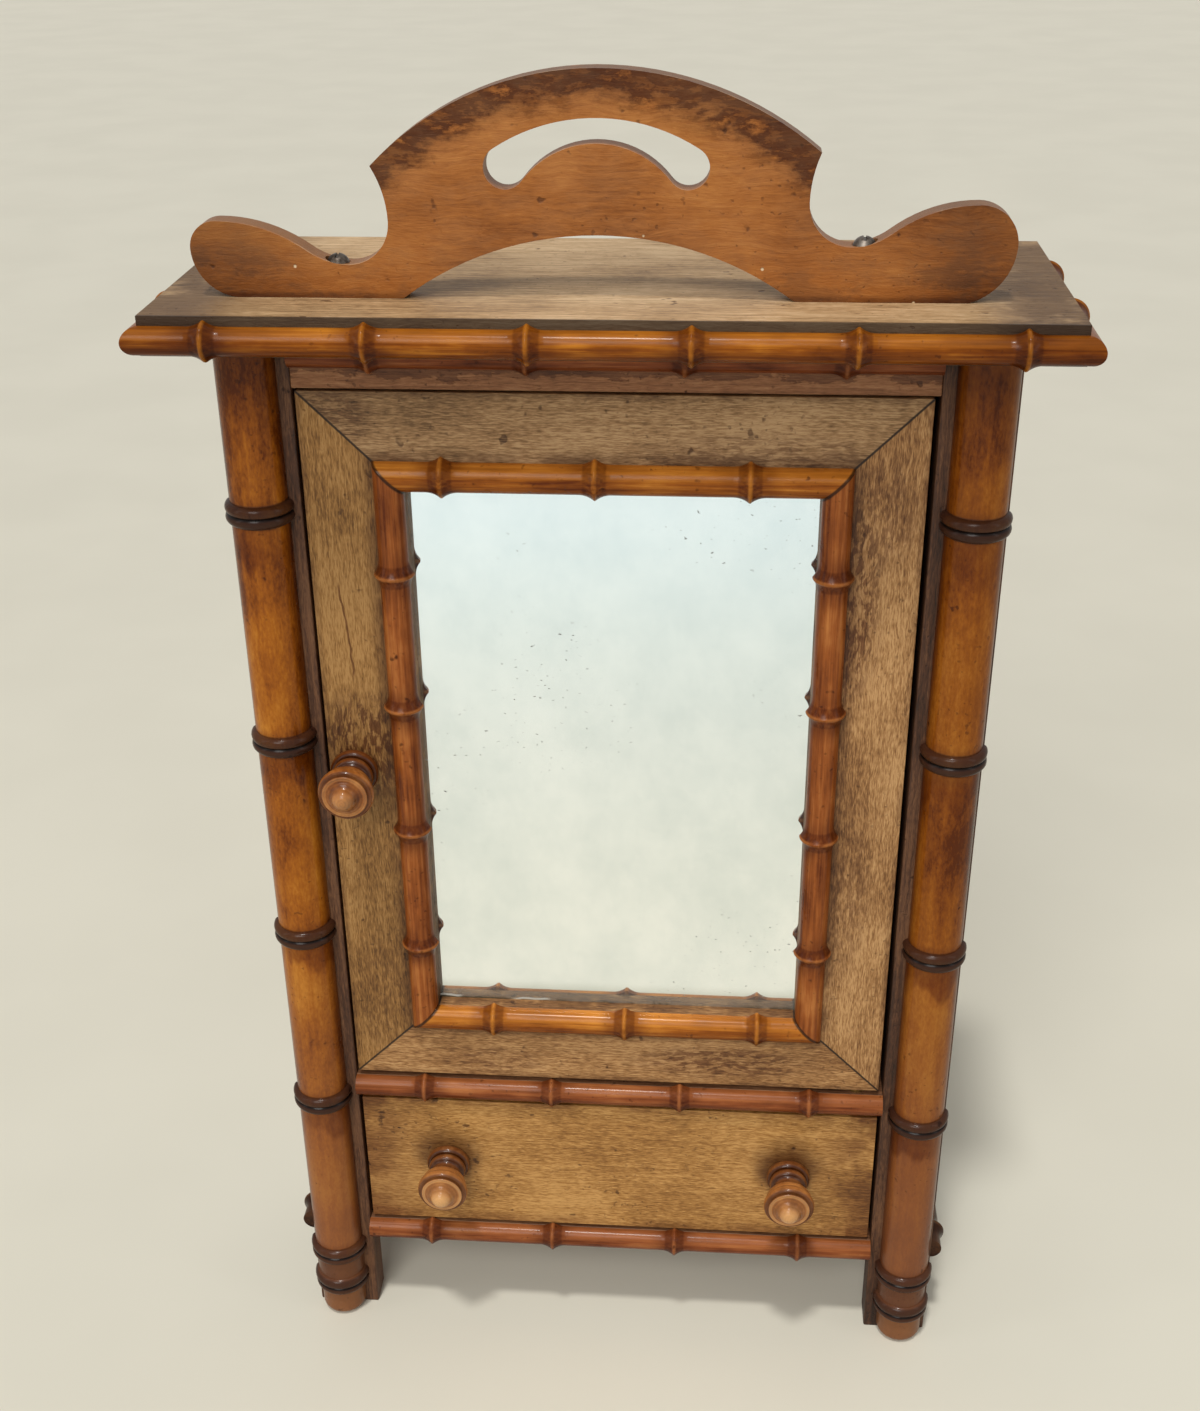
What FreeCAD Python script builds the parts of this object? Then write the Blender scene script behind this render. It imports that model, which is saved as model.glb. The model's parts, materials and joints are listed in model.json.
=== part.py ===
import FreeCAD, Part
import math
import os
import Sketcher

# A small standing cabinet in imitation bamboo: a looking-glass door over one drawer, under a pierced crest.
# Millimetres, +Z up, the front faces -Y, and the origin is on the floor under the middle of the whole.

DIMENSIONS = {
    # Carcass: four plain legs, with boards, side panels and a back between them
    "opening_width": 255,
    "leg_width": 30.5,
    "leg_depth": 16,
    "case_depth": 93.2,
    "floor_clearance": 48.1,
    "board_thickness": 11.5,
    "drawer_opening_height": 82.2,
    "door_opening_height": 345.4,
    "frieze_height": 23.4,
    "side_thickness": 8,
    "side_recess": 1,
    "back_thickness": 5,
    "glue_block_side": 12,
    "glue_block_end_gap": 8,
    "nail_radius": 0.9,
    "nail_head_radius": 2.2,
    "nail_head_thickness": 0.8,
    "nail_depth": 14,
    "nail_pitch": 100,
    "lowest_nail_height": 70,
    "nail_fit": 0.03,
    # Top board and its cornice
    "top_thickness": 15.1,
    "top_side_overhang": 15.5,
    "top_front_overhang": 37.2,
    "top_back_overhang": 1,
    "cornice_radius": 5.5,
    "cornice_lift": 0.4,
    # Half-round bamboo stock: a straight cane with raised nodes at an even pitch
    "rail_cane_radius": 5.5,
    "door_cane_radius": 6.3,
    "node_rise": 2.3,
    "node_half_length": 6.6,
    "node_crest": 1.4,
    "node_crest_sag": 0.35,
    "node_pitch": 62,
    "cornice_pitch": 60,
    "node_end_margin": 9,
    "cornice_node": 31.7,
    "cornice_side_node": 22,
    "bed_node": 28.5,
    "shelf_node": 30.4,
    "bottom_node": 28.8,
    "side_node": 31,
    "door_top_node": -6.5,
    "door_right_node": -33,
    "door_bottom_node": -4.5,
    "door_left_node": 31,
    "mitre_margin": 1,
    "bed_drop": 1.4,
    "side_moulding_setback": 2,
    # Turned half-round posts on the front legs, ringed like canes, with a ball foot
    "post_radius": 12.1,
    "post_shift": 2.25,
    "fourth_ring_drop": 74.4,
    "third_ring_drop": 106.1,
    "second_ring_drop": 101.5,
    "first_ring_drop": 97.9,
    "ring_upper_bead": 4.8,
    "ring_lower_bead": 4.8,
    "ring_groove_rise": 1.3,
    "ring_bead_sag": 1.6,
    "foot_radius": 11.2,
    "foot_rounding": 4.5,
    "foot_neck_height": 16,
    "foot_bead_radius": 12.9,
    "foot_bead_length": 4.6,
    "foot_collar_radius": 11.9,
    "foot_collar_length": 5.6,
    "foot_band_length": 11.2,
    # Crest board: a shaped and pierced board on the top, screwed down beside the lows of its two saddles
    "crest_thickness": 10,
    "crest_setback": -9,
    "crest_offset": -4.6,
    "crest_height": 82.7,
    "crest_end_gap": 19.5,
    "crest_foot_inset": 16.4,
    "crest_foot_length": 63.9,
    "crest_arch_height": 24.1,
    "crest_saddle_inset": 60.2,
    "crest_bite_radius": 16,
    "crest_swell_share": 0.31,
    "crest_left_tip_run": 5.5,
    "crest_left_tip_rise": 20.1,
    "crest_left_saddle_height": 12.6,
    "crest_left_scroll_rise": 15.9,
    "crest_left_scroll_radius": 10.4,
    "crest_right_tip_run": 3.6,
    "crest_right_tip_rise": 17.6,
    "crest_right_saddle_height": 20.3,
    "crest_right_scroll_rise": 15.4,
    "crest_right_scroll_radius": 14.3,
    "slot_lobe_reach": 33.6,
    "slot_lobe_drop": 17.4,
    "slot_lobe_radius": 7.8,
    "slot_crown_cover": 17,
    "slot_opening": 8.9,
    "screw_offset": 5,
    "screw_radius": 2.2,
    "screw_head_radius": 4.5,
    "screw_head_height": 3.6,
    "screw_slot_width": 1.1,
    "screw_slot_depth": 1.2,
    "screw_depth": 11,
    "screw_seat_depth": 0.3,
    "screw_fit": 0.05,
    "screw_seat_gap": 0.25,
    # Door: a mitred and rebated frame round a looking glass, hung on two pins
    "door_thickness": 14,
    "door_proud": 1,
    "door_knob_side_gap": 1.5,
    "door_pivot_side_gap": 2.4,
    "door_head_gap": 0.6,
    "door_foot_gap": 1.3,
    "frame_margin": 28.8,
    "rebate_width": 6,
    "lip_thickness": 6.5,
    "glass_thickness": 3,
    "glass_gap": 0.5,
    "backing_thickness": 2.2,
    "bead_width": 5,
    "pivot_inset": 10,
    "pivot_setback": 6.5,
    "pivot_radius": 2,
    "pivot_seat": 9,
    "pivot_reach": 14,
    "pivot_fit": 0.06,
    "washer_radius": 4.5,
    "washer_gap": 0.3,
    "door_stop_gap": 0.3,
    "door_stop_length": 100,
    "door_stop_depth": 8,
    "door_stop_drop": 7,
    # Turned knobs, and the latch that the door's knob turns
    "knob_collar_radius": 9.6,
    "knob_collar_length": 4.6,
    "knob_collar_sag": 1.1,
    "knob_bead_radius": 8.4,
    "knob_bead_length": 4,
    "knob_bead_sag": 1.1,
    "knob_neck_radius": 7.6,
    "knob_neck_length": 5.2,
    "knob_neck_sag": 1.1,
    "knob_head_radius": 11.3,
    "knob_flare_length": 5,
    "knob_flare_sag": 1.2,
    "knob_rim_length": 4.4,
    "knob_rim_sag": 0.9,
    "knob_face_radius": 9.7,
    "knob_face_step": 1.2,
    "knob_face_sag": 0.7,
    "knob_face_rise": 2.2,
    "knob_button_radius": 5.2,
    "knob_button_rise": 4.0,
    "door_knob_inset": 11.5,
    "door_knob_height": 326,
    "door_knob_gap": 0.3,
    "spindle_radius": 2.5,
    "spindle_fit": 0.08,
    "spindle_grip": 15,
    "latch_width": 8,
    "latch_thickness": 2,
    "latch_arm": 26,
    "latch_tail": 7,
    "latch_gap": 0.4,
    "latch_collar_radius": 4.5,
    "latch_collar_gap": 0.3,
    "latch_nut_radius": 5.2,
    "latch_nut_thickness": 3,
    # Drawer: a front, two sides, a back and a grooved-in bottom, between guides
    "drawer_proud": 0.5,
    "drawer_side_gap": 1.8,
    "drawer_clearance": 0.4,
    "drawer_run_gap": 0.3,
    "drawer_front_thickness": 13,
    "drawer_wall": 7,
    "drawer_wall_inset": 0.5,
    "drawer_head_room": 15.9,
    "drawer_bottom_thickness": 4,
    "drawer_bottom_lift": 5,
    "groove_depth": 3,
    "groove_gap": 0.1,
    "drawer_knob_inset": 41.2,
    "guide_gap": 0.5,
    "guide_width": 12,
    "guide_height": 12,
    "stop_depth": 5,
    "stop_length": 20,
    "stop_height": 10,
    "stop_reach": 60,
    "knob_screw_radius": 1.8,
    "knob_screw_grip": 12,
    "knob_screw_head_radius": 3.6,
    "knob_screw_head_height": 1.8,
}

# Places that follow from the dimensions, in the order in which they are worked out
PLACES = {
    "leg_inner": "dims.opening_width / 2",
    "leg_outer": "leg_inner + dims.leg_width",
    "face_y": "(dims.top_front_overhang + dims.cornice_radius + dims.node_rise"
              " - dims.case_depth - dims.top_back_overhang) / 2",
    "leg_back_y": "face_y + dims.leg_depth",
    "back_y": "face_y + dims.case_depth",
    "inner_back_y": "back_y - dims.back_thickness",
    "rear_leg_y": "inner_back_y - dims.leg_depth",
    "side_outer": "leg_outer - dims.side_recess",
    "side_inner": "side_outer - dims.side_thickness",
    "bottom_under": "dims.floor_clearance",
    "bottom_middle": "bottom_under + dims.board_thickness / 2",
    "bottom_top": "bottom_under + dims.board_thickness",
    "shelf_under": "bottom_top + dims.drawer_opening_height",
    "shelf_middle": "shelf_under + dims.board_thickness / 2",
    "shelf_top": "shelf_under + dims.board_thickness",
    "rail_under": "shelf_top + dims.door_opening_height",
    "top_under": "rail_under + dims.frieze_height",
    "top_upper": "top_under + dims.top_thickness",
    "top_half_width": "leg_outer + dims.top_side_overhang",
    "top_front_y": "face_y - dims.top_front_overhang",
    "top_back_y": "back_y + dims.top_back_overhang",
    "cornice_z": "top_under + dims.cornice_lift + dims.cornice_radius",
    "rail_node_radius": "dims.rail_cane_radius + dims.node_rise",
    "bed_z": "top_under - rail_node_radius - dims.bed_drop",
    "post_x": "(leg_inner + leg_outer) / 2 + dims.post_shift",
    "foot_bead_z": "dims.foot_neck_height + dims.foot_bead_length",
    "foot_collar_z": "foot_bead_z + dims.foot_collar_length",
    "foot_ring_z": "foot_collar_z + dims.foot_band_length + dims.ring_lower_bead",
    "fourth_ring_z": "top_under - dims.fourth_ring_drop",
    "third_ring_z": "fourth_ring_z - dims.third_ring_drop",
    "second_ring_z": "third_ring_z - dims.second_ring_drop",
    "first_ring_z": "second_ring_z - dims.first_ring_drop",
    "crest_y": "face_y + dims.crest_setback",
    "crest_middle_y": "crest_y + dims.crest_thickness / 2",
    "crest_reach": "top_half_width - dims.crest_end_gap",
    "crest_foot_outer": "crest_reach - dims.crest_foot_inset",
    "crest_foot_inner": "crest_foot_outer - dims.crest_foot_length",
    "crest_saddle_reach": "crest_reach - dims.crest_saddle_inset",
    "crest_neck_reach": "crest_saddle_reach - dims.crest_bite_radius",
    "screw_reach": "crest_saddle_reach + dims.screw_offset",
    "slot_crown_height": "dims.crest_height - dims.slot_crown_cover",
    "slot_bump_height": "slot_crown_height - dims.slot_opening",
    "slot_lobe_height": "slot_crown_height - dims.slot_lobe_drop",
    "slot_crown_radius": "(dims.slot_lobe_reach ^ 2 + dims.slot_lobe_drop ^ 2 - dims.slot_lobe_radius ^ 2)"
                         " / (2 * (dims.slot_lobe_drop - dims.slot_lobe_radius))",
    "slot_lift": "slot_bump_height - slot_lobe_height",
    "slot_bump_radius": "(dims.slot_lobe_reach ^ 2 + slot_lift ^ 2 - dims.slot_lobe_radius ^ 2)"
                        " / (2 * (slot_lift + dims.slot_lobe_radius))",
    "door_left": "-leg_inner + dims.door_knob_side_gap",
    "door_right": "leg_inner - dims.door_pivot_side_gap",
    "door_bottom": "shelf_middle + rail_node_radius + dims.door_foot_gap",
    "door_top": "rail_under - dims.door_head_gap",
    "door_x": "(door_left + door_right) / 2",
    "door_z": "(door_bottom + door_top) / 2",
    "door_half_width": "(door_right - door_left) / 2",
    "door_half_height": "(door_top - door_bottom) / 2",
    "door_front_y": "face_y - dims.door_proud",
    "door_back_y": "door_front_y + dims.door_thickness",
    "frame_width": "dims.frame_margin + 2 * dims.door_cane_radius",
    "rebate_inset": "frame_width - dims.rebate_width",
    "glass_half_width": "door_half_width - rebate_inset - dims.glass_gap",
    "glass_half_height": "door_half_height - rebate_inset - dims.glass_gap",
    "glass_y": "door_front_y + dims.lip_thickness",
    "backing_y": "glass_y + dims.glass_thickness",
    "bead_y": "backing_y + dims.backing_thickness",
    "rail_back_y": "door_back_y + dims.door_stop_gap",
    "pivot_x": "door_right - dims.pivot_inset",
    "pivot_y": "door_front_y + dims.pivot_setback",
    "door_knob_x": "door_left + dims.door_knob_inset",
    "door_knob_y": "door_front_y - dims.door_knob_gap",
    "latch_y": "leg_back_y + dims.latch_gap",
    "latch_back_y": "latch_y + dims.latch_thickness",
    "drawer_half_width": "leg_inner - dims.drawer_side_gap",
    "drawer_low": "bottom_middle + rail_node_radius + dims.drawer_clearance",
    "drawer_high": "shelf_middle - rail_node_radius - dims.drawer_clearance",
    "drawer_front_y": "face_y - dims.drawer_proud",
    "drawer_inner_y": "drawer_front_y + dims.drawer_front_thickness",
    "drawer_back_y": "inner_back_y - dims.stop_depth - dims.drawer_run_gap",
    "drawer_outer": "drawer_half_width - dims.drawer_wall_inset",
    "drawer_inner": "drawer_outer - dims.drawer_wall",
    "drawer_floor": "bottom_top + dims.drawer_run_gap",
    "drawer_groove": "drawer_floor + dims.drawer_bottom_lift",
    "drawer_rim": "shelf_under - dims.drawer_head_room",
    "drawer_knob_x": "drawer_half_width - dims.drawer_knob_inset",
    "drawer_knob_z": "(drawer_low + drawer_high) / 2",
    "guide_inner": "drawer_outer + dims.guide_gap",
}

# Rotations, as an axis and an angle in degrees
UPRIGHT = ((0, 0, 1), 0)
ALONG_Y = ((1, 0, 0), -90)
OUT_OF_FRONT = ((1, 0, 0), 90)
FACING_LEFT = ((0, 0, 1), -90)
FACING_RIGHT = ((0, 0, 1), 90)

BOTH_HANDS = (("left", -1), ("right", 1))

doc = FreeCAD.newDocument("mirrored_cabinet")


def fill_sheet(name, cells, lead):
    """Spreadsheet with one row for each cell: its name beside its value, which the name is an alias of."""
    sheet = doc.addObject("Spreadsheet::Sheet", name)
    for row, (alias, content) in enumerate(cells.items(), start=1):
        sheet.set("A%d" % row, alias)
        sheet.set("B%d" % row, lead + str(content))
        sheet.setAlias("B%d" % row, alias)
    return sheet


dims = fill_sheet("dims", DIMENSIONS, "")
places = fill_sheet("places", PLACES, "=")
doc.recompute()

pieces = {}


def piece(name, made):
    """Files a finished solid, or group of solids, under the name of the sub-part."""
    made.Label = name
    pieces[name] = made
    return made


def number(expression):
    """What an expression on the sheets comes to."""
    return float(places.evalExpression(expression))


def put(made, x, y, z, turn=UPRIGHT):
    """Turns an object, and ties its place to three expressions."""
    axis, angle = turn
    rotation = FreeCAD.Rotation(FreeCAD.Vector(*axis), angle)
    made.Placement = FreeCAD.Placement(FreeCAD.Vector(number(x), number(y), number(z)), rotation)
    for letter, place in zip("xyz", (x, y, z)):
        made.setExpression("Placement.Base." + letter, place)
    return made


def box(name, x, y, z):
    """Block between a low and a high expression along each axis."""
    block = doc.addObject("Part::Box", name)
    for size, (low, high) in zip(("Length", "Width", "Height"), (x, y, z)):
        block.setExpression(size, "(%s) - (%s)" % (high, low))
    return put(block, x[0], y[0], z[0])


def rod(name, start, radius, length, turn=UPRIGHT):
    """Round bar from its start, upwards unless it is turned."""
    bar = doc.addObject("Part::Cylinder", name)
    bar.setExpression("Radius", radius)
    bar.setExpression("Height", length)
    return put(bar, *start, turn)


def cut(name, base, *tools):
    """A piece with each of the tools taken out of it."""
    for count, tool in enumerate(tools, start=1):
        step = doc.addObject("Part::Cut", "%s_cut_%d" % (name, count))
        step.Base = base
        step.Tool = tool
        base = step
    return base


def fuse(name, first, second):
    """Two overlapping shapes as one solid."""
    joined = doc.addObject("Part::Fuse", name)
    joined.Base = first
    joined.Tool = second
    return joined


def group(name, members):
    """Several like solids that share one node."""
    gathered = doc.addObject("Part::Compound", name)
    gathered.Links = members
    return gathered


def spread(sign, inner, outer):
    """Low and high expressions of a stretch on the left (-1) or right (1) of the middle."""
    if sign < 0:
        return "-(%s)" % outer, "-(%s)" % inner
    return inner, outer


def signed(sign, expression):
    """An expression, or its mirror image on the left."""
    return expression if sign > 0 else "-(%s)" % expression


def bow(sag):
    """Arc that stands a given height off its chord, outwards from the loop."""
    return "sag", sag, 1


def dip(sag):
    """Arc that stands a given height off its chord, into the loop."""
    return "sag", sag, -1


def swell(radius):
    """Arc of a given radius, outwards from the loop."""
    return "radius", radius, 1


def hollow(radius):
    """Arc of a given radius, into the loop."""
    return "radius", radius, -1


def arc_radius(corner, following):
    """Expression for the radius of the arc from one corner to the next."""
    kind, size, _ = corner[2]
    if kind == "radius":
        return size
    chord = "(((%s) - (%s)) ^ 2 + ((%s) - (%s)) ^ 2)" % (following[0], corner[0], following[1], corner[1])
    return "%s / (8 * (%s)) + (%s) / 2" % (chord, size, size)


def short_arc(start, end, radius, way):
    """Arc of less than half a turn: anticlockwise from start to end for way 1, clockwise for -1."""
    chord = end - start
    reach = math.sqrt(radius ** 2 - (chord.Length / 2) ** 2)
    leftwards = FreeCAD.Vector(-chord.y, chord.x, 0).normalize()
    centre = (start + end) / 2 + leftwards * reach * way
    first, last = (start, end) if way > 0 else (end, start)
    angles = [math.atan2(spot.y - centre.y, spot.x - centre.x) for spot in (first, last)]
    if angles[1] < angles[0]:
        angles[1] += 2 * math.pi
    return Part.ArcOfCircle(Part.Circle(centre, FreeCAD.Vector(0, 0, 1), radius), *angles)


def add_loop(sketch, corners):
    """Adds a closed, anticlockwise loop. A corner is x and y, with an arc if the side after it is one."""
    offset = sketch.GeometryCount
    count = len(corners)
    spots = [FreeCAD.Vector(number(corner[0]), number(corner[1]), 0) for corner in corners]
    sides = []
    ends = []
    held = []
    for index, corner in enumerate(corners):
        start = spots[index]
        end = spots[(index + 1) % count]
        side = offset + index
        if len(corner) == 2:
            sides.append(Part.LineSegment(start, end))
            ends.append((1, 2))
        else:
            radius = arc_radius(corner, corners[(index + 1) % count])
            way = corner[2][2]
            sides.append(short_arc(start, end, number(radius), way))
            ends.append((1, 2) if way > 0 else (2, 1))
            held.append((Sketcher.Constraint("Radius", side, number(radius)), radius))
        for kind, place in zip(("DistanceX", "DistanceY"), corner[:2]):
            held.append((Sketcher.Constraint(kind, side, ends[-1][0], number(place)), place))
    sketch.addGeometry(sides, False)
    for index in range(count):
        following = (index + 1) % count
        joint = (offset + index, ends[index][1], offset + following, ends[following][0])
        sketch.addConstraint(Sketcher.Constraint("Coincident", *joint))
    rows = sketch.addConstraint([constraint for constraint, _ in held])
    for row, (_, expression) in zip(rows, held):
        sketch.setExpression("Constraints[%d]" % row, expression)


def drawn(body, name, role, *loops):
    """Sketch of closed loops on one of a body's own planes."""
    sketch = body.newObject("Sketcher::SketchObject", name)
    plane = next(feature for feature in body.Origin.OriginFeatures if feature.Role == role)
    sketch.AttachmentSupport = (plane, [""])
    sketch.MapMode = "FlatFace"
    for corners in loops:
        add_loop(sketch, corners)
    return sketch


def padded(body, name, sketch, thickness, backwards=False):
    """Sketch raised into a slab, along its plane's normal unless it goes backwards."""
    pad = body.newObject("PartDesign::Pad", name)
    pad.Profile = sketch
    pad.Reversed = backwards
    pad.setExpression("Length", thickness)
    return pad


def turned(body, name, sketch, axis, angle, backwards=False):
    """Sketch swung round one of its own axes."""
    turning = body.newObject("PartDesign::Revolution", name)
    turning.Profile = sketch
    turning.ReferenceAxis = (sketch, [axis])
    turning.Angle = angle
    turning.Reversed = backwards
    return turning


def node_places(low, high, first, pitch):
    """Places of the nodes between two ends: one at first, and the others a whole number of pitches away."""
    step = number(pitch)
    margin = number("dims.node_end_margin")
    fewest = math.ceil((number(low) + margin - number(first)) / step)
    most = math.floor((number(high) - margin - number(first)) / step)
    return ["(%s) + %d * %s" % (first, count, pitch) for count in range(fewest, most + 1)]


def cane(name, low, high, radius, first, pitch="dims.node_pitch"):
    """Half-round cane along X with its flat in the XZ plane, facing -Y: a half turn of its outline.

    Each node is a rounded crest between two hollow shoulders that run out into the straight cane.
    """
    climb = "(dims.node_rise - dims.node_crest_sag)"
    crest = "(%s) + %s" % (radius, climb)
    run = "(dims.node_half_length - dims.node_crest / 2)"
    shoulder = "(%s ^ 2 + %s ^ 2) / (2 * %s)" % (run, climb, climb)
    corners = [(low, "0"), (high, "0"), (high, radius)]
    for place in reversed(node_places(low, high, first, pitch)):
        corners.append((place + " + dims.node_half_length", radius, hollow(shoulder)))
        corners.append((place + " + dims.node_crest / 2", crest, bow("dims.node_crest_sag")))
        corners.append((place + " - dims.node_crest / 2", crest, hollow(shoulder)))
        corners.append((place + " - dims.node_half_length", radius))
    corners.append((low, radius))
    body = doc.addObject("PartDesign::Body", name + "_cane")
    turned(body, name + "_turning", drawn(body, name + "_outline", "XZ_Plane", corners), "H_Axis", 180)
    return body


def mitre(body, name, role, *triangles):
    """Takes the waste off the ends of a cane, right through it."""
    doc.recompute()
    whole = body.Shape.Volume
    pocket = body.newObject("PartDesign::Pocket", name)
    pocket.Profile = drawn(body, name + "_waste", role, *triangles)
    pocket.Type = "ThroughAll"
    pocket.SideType = "Symmetric"
    doc.recompute()
    if body.Shape.Volume >= whole:
        raise RuntimeError(name + " took nothing off")


def make_legs():
    """Four plain legs from the floor to the top, the back ones drilled for the nails of the back panel."""
    for hand, sign in BOTH_HANDS:
        x = spread(sign, "places.leg_inner", "places.leg_outer")
        z = ("0", "places.top_under")
        piece("front_leg_" + hand, box("front_leg_" + hand, x, ("places.face_y", "places.leg_back_y"), z))
        blank = box("back_leg_blank_" + hand, x, ("places.rear_leg_y", "places.inner_back_y"), z)
        drills = nail_shanks("back_leg_" + hand, [sign], "dims.nail_radius + dims.nail_fit", "dims.nail_fit")
        piece("back_leg_" + hand, cut("back_leg_" + hand, blank, *drills))


def nail_rows():
    """Heights of the nails of the back panel, at an even pitch up its edges."""
    room = number("places.top_under - dims.lowest_nail_height - dims.nail_head_radius")
    count = math.floor(room / number("dims.nail_pitch")) + 1
    return ["dims.lowest_nail_height + %d * dims.nail_pitch" % row for row in range(count)]


def nail_shanks(name, signs, radius, extra):
    """Round bars where the nails run in from the back, longer than the nail by the extra."""
    bars = []
    for sign in signs:
        for row, height in enumerate(nail_rows()):
            start = (signed(sign, "(places.leg_inner + places.leg_outer) / 2"),
                     "places.back_y - dims.nail_depth - (%s)" % extra, height)
            label = "%s_shank_%d_%d" % (name, sign + 1, row)
            bars.append(rod(label, start, radius, "dims.nail_depth + (%s)" % extra, ALONG_Y))
    return bars


def make_back():
    """Back panel across the back legs, and the nails that hold it."""
    across = ("-places.leg_outer", "places.leg_outer")
    through = ("places.inner_back_y", "places.back_y")
    blank = box("back_panel_blank", across, through, ("places.bottom_under", "places.top_under"))
    drills = nail_shanks("back_panel", [-1, 1], "dims.nail_radius + dims.nail_fit", "dims.nail_fit")
    piece("back_panel", cut("back_panel", blank, *drills))
    nails = []
    for shank in nail_shanks("back_nail", [-1, 1], "dims.nail_radius", "0"):
        start = [shank.Name + ".Placement.Base.x", "places.back_y", shank.Name + ".Placement.Base.z"]
        head = rod(shank.Name + "_head", start, "dims.nail_head_radius", "dims.nail_head_thickness", ALONG_Y)
        nails.append(fuse(shank.Name + "_nail", shank, head))
    piece("back_nails", group("back_nails", nails))


def make_sides():
    """Plain side panels between the legs, a cane along the foot of each, and glue blocks under the top."""
    blocks = []
    for hand, sign in BOTH_HANDS:
        x = spread(sign, "places.side_inner", "places.side_outer")
        y = ("places.leg_back_y", "places.rear_leg_y")
        z = ("places.bottom_under", "places.top_under")
        piece("side_panel_" + hand, box("side_panel_" + hand, x, y, z))
        inside = spread(sign, "places.side_inner - dims.glue_block_side", "places.side_inner")
        along = ("places.leg_back_y + dims.glue_block_end_gap", "places.rear_leg_y - dims.glue_block_end_gap")
        under = ("places.top_under - dims.glue_block_side", "places.top_under")
        blocks.append(box("glue_block_" + hand, inside, along, under))
        length = "(places.inner_back_y - places.face_y - dims.side_moulding_setback)"
        moulding = cane("side_moulding_" + hand, "-%s / 2" % length, "%s / 2" % length,
                        "dims.rail_cane_radius", signed(sign, "-dims.side_node"))
        centre = "(places.inner_back_y + places.face_y + dims.side_moulding_setback) / 2"
        facing = FACING_RIGHT if sign > 0 else FACING_LEFT
        put(moulding, signed(sign, "places.leg_outer"), centre, "places.bottom_middle", facing)
        piece("side_moulding_" + hand, moulding)
    piece("glue_blocks", group("glue_blocks", blocks))


def floor_board(name, height):
    """Board across the case at a given height, its corners notched round the four legs."""
    wide = "places.side_inner"
    narrow = "places.leg_inner"
    right = [(narrow, "places.face_y"), (narrow, "places.leg_back_y"), (wide, "places.leg_back_y"),
             (wide, "places.rear_leg_y"), (narrow, "places.rear_leg_y"), (narrow, "places.inner_back_y")]
    left = [("-" + x, y) for x, y in reversed(right)]
    body = doc.addObject("PartDesign::Body", name + "_slab")
    outline = drawn(body, name + "_outline", "XY_Plane", right + left)
    padded(body, name + "_pad", outline, "dims.board_thickness")
    return put(body, "0", "0", height)


def make_rails():
    """Bottom board, shelf and frieze rail across the front, each with its cane."""
    piece("bottom_board", floor_board("bottom_board", "places.bottom_under"))
    pivot_hole = "dims.pivot_radius + dims.pivot_fit"
    low = ("places.pivot_x", "places.pivot_y", "places.shelf_top - dims.pivot_seat")
    lower_seat = rod("lower_pivot_seat", low, pivot_hole, "dims.pivot_seat")
    piece("shelf_board", cut("shelf_board", floor_board("shelf_board", "places.shelf_under"), lower_seat))
    across = ("-places.leg_inner", "places.leg_inner")
    rail = box("frieze_rail_blank", across, ("places.face_y", "places.rail_back_y"),
               ("places.rail_under", "places.top_under"))
    high = ("places.pivot_x", "places.pivot_y", "places.rail_under")
    upper_seat = rod("upper_pivot_seat", high, pivot_hole, "dims.pivot_seat")
    piece("frieze_rail", cut("frieze_rail", rail, upper_seat))
    mouldings = (("bed_moulding", "places.bed_z", "dims.bed_node"),
                 ("shelf_moulding", "places.shelf_middle", "dims.shelf_node"),
                 ("bottom_moulding", "places.bottom_middle", "dims.bottom_node"))
    for name, height, first in mouldings:
        moulding = cane(name, *across, "dims.rail_cane_radius", first)
        piece(name, put(moulding, "0", "places.face_y", height))


def post_ring(height, below, above):
    """Corners up one ring of a post: two beads with a groove between them at the ring's height."""
    groove = "(%s) + dims.ring_groove_rise" % below
    return [(below, height + " - dims.ring_lower_bead", bow("dims.ring_bead_sag")),
            (groove, height, bow("dims.ring_bead_sag")),
            (above, height + " + dims.ring_upper_bead")]


def make_posts():
    """Half-round turned posts on the front legs: a ball foot, a collar and a ringed cane above."""
    corners = [("0", "0"),
               ("dims.foot_radius - dims.foot_rounding", "0", swell("dims.foot_rounding")),
               ("dims.foot_radius", "dims.foot_rounding"),
               ("dims.foot_radius", "dims.foot_neck_height", bow("dims.ring_bead_sag")),
               ("dims.foot_bead_radius", "places.foot_bead_z", bow("dims.ring_bead_sag")),
               ("dims.foot_collar_radius", "places.foot_collar_z")]
    corners += post_ring("places.foot_ring_z", "dims.foot_collar_radius", "dims.post_radius")
    for height in ("first", "second", "third", "fourth"):
        corners += post_ring("places.%s_ring_z" % height, "dims.post_radius", "dims.post_radius")
    corners += [("dims.post_radius", "places.top_under"), ("0", "places.top_under")]
    for hand, sign in BOTH_HANDS:
        body = doc.addObject("PartDesign::Body", "post_turning_" + hand)
        outline = drawn(body, "post_outline_" + hand, "XZ_Plane", corners)
        turned(body, "post_half_" + hand, outline, "V_Axis", 180, backwards=True)
        piece("post_" + hand, put(body, signed(sign, "places.post_x"), "places.face_y", "0"))


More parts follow.
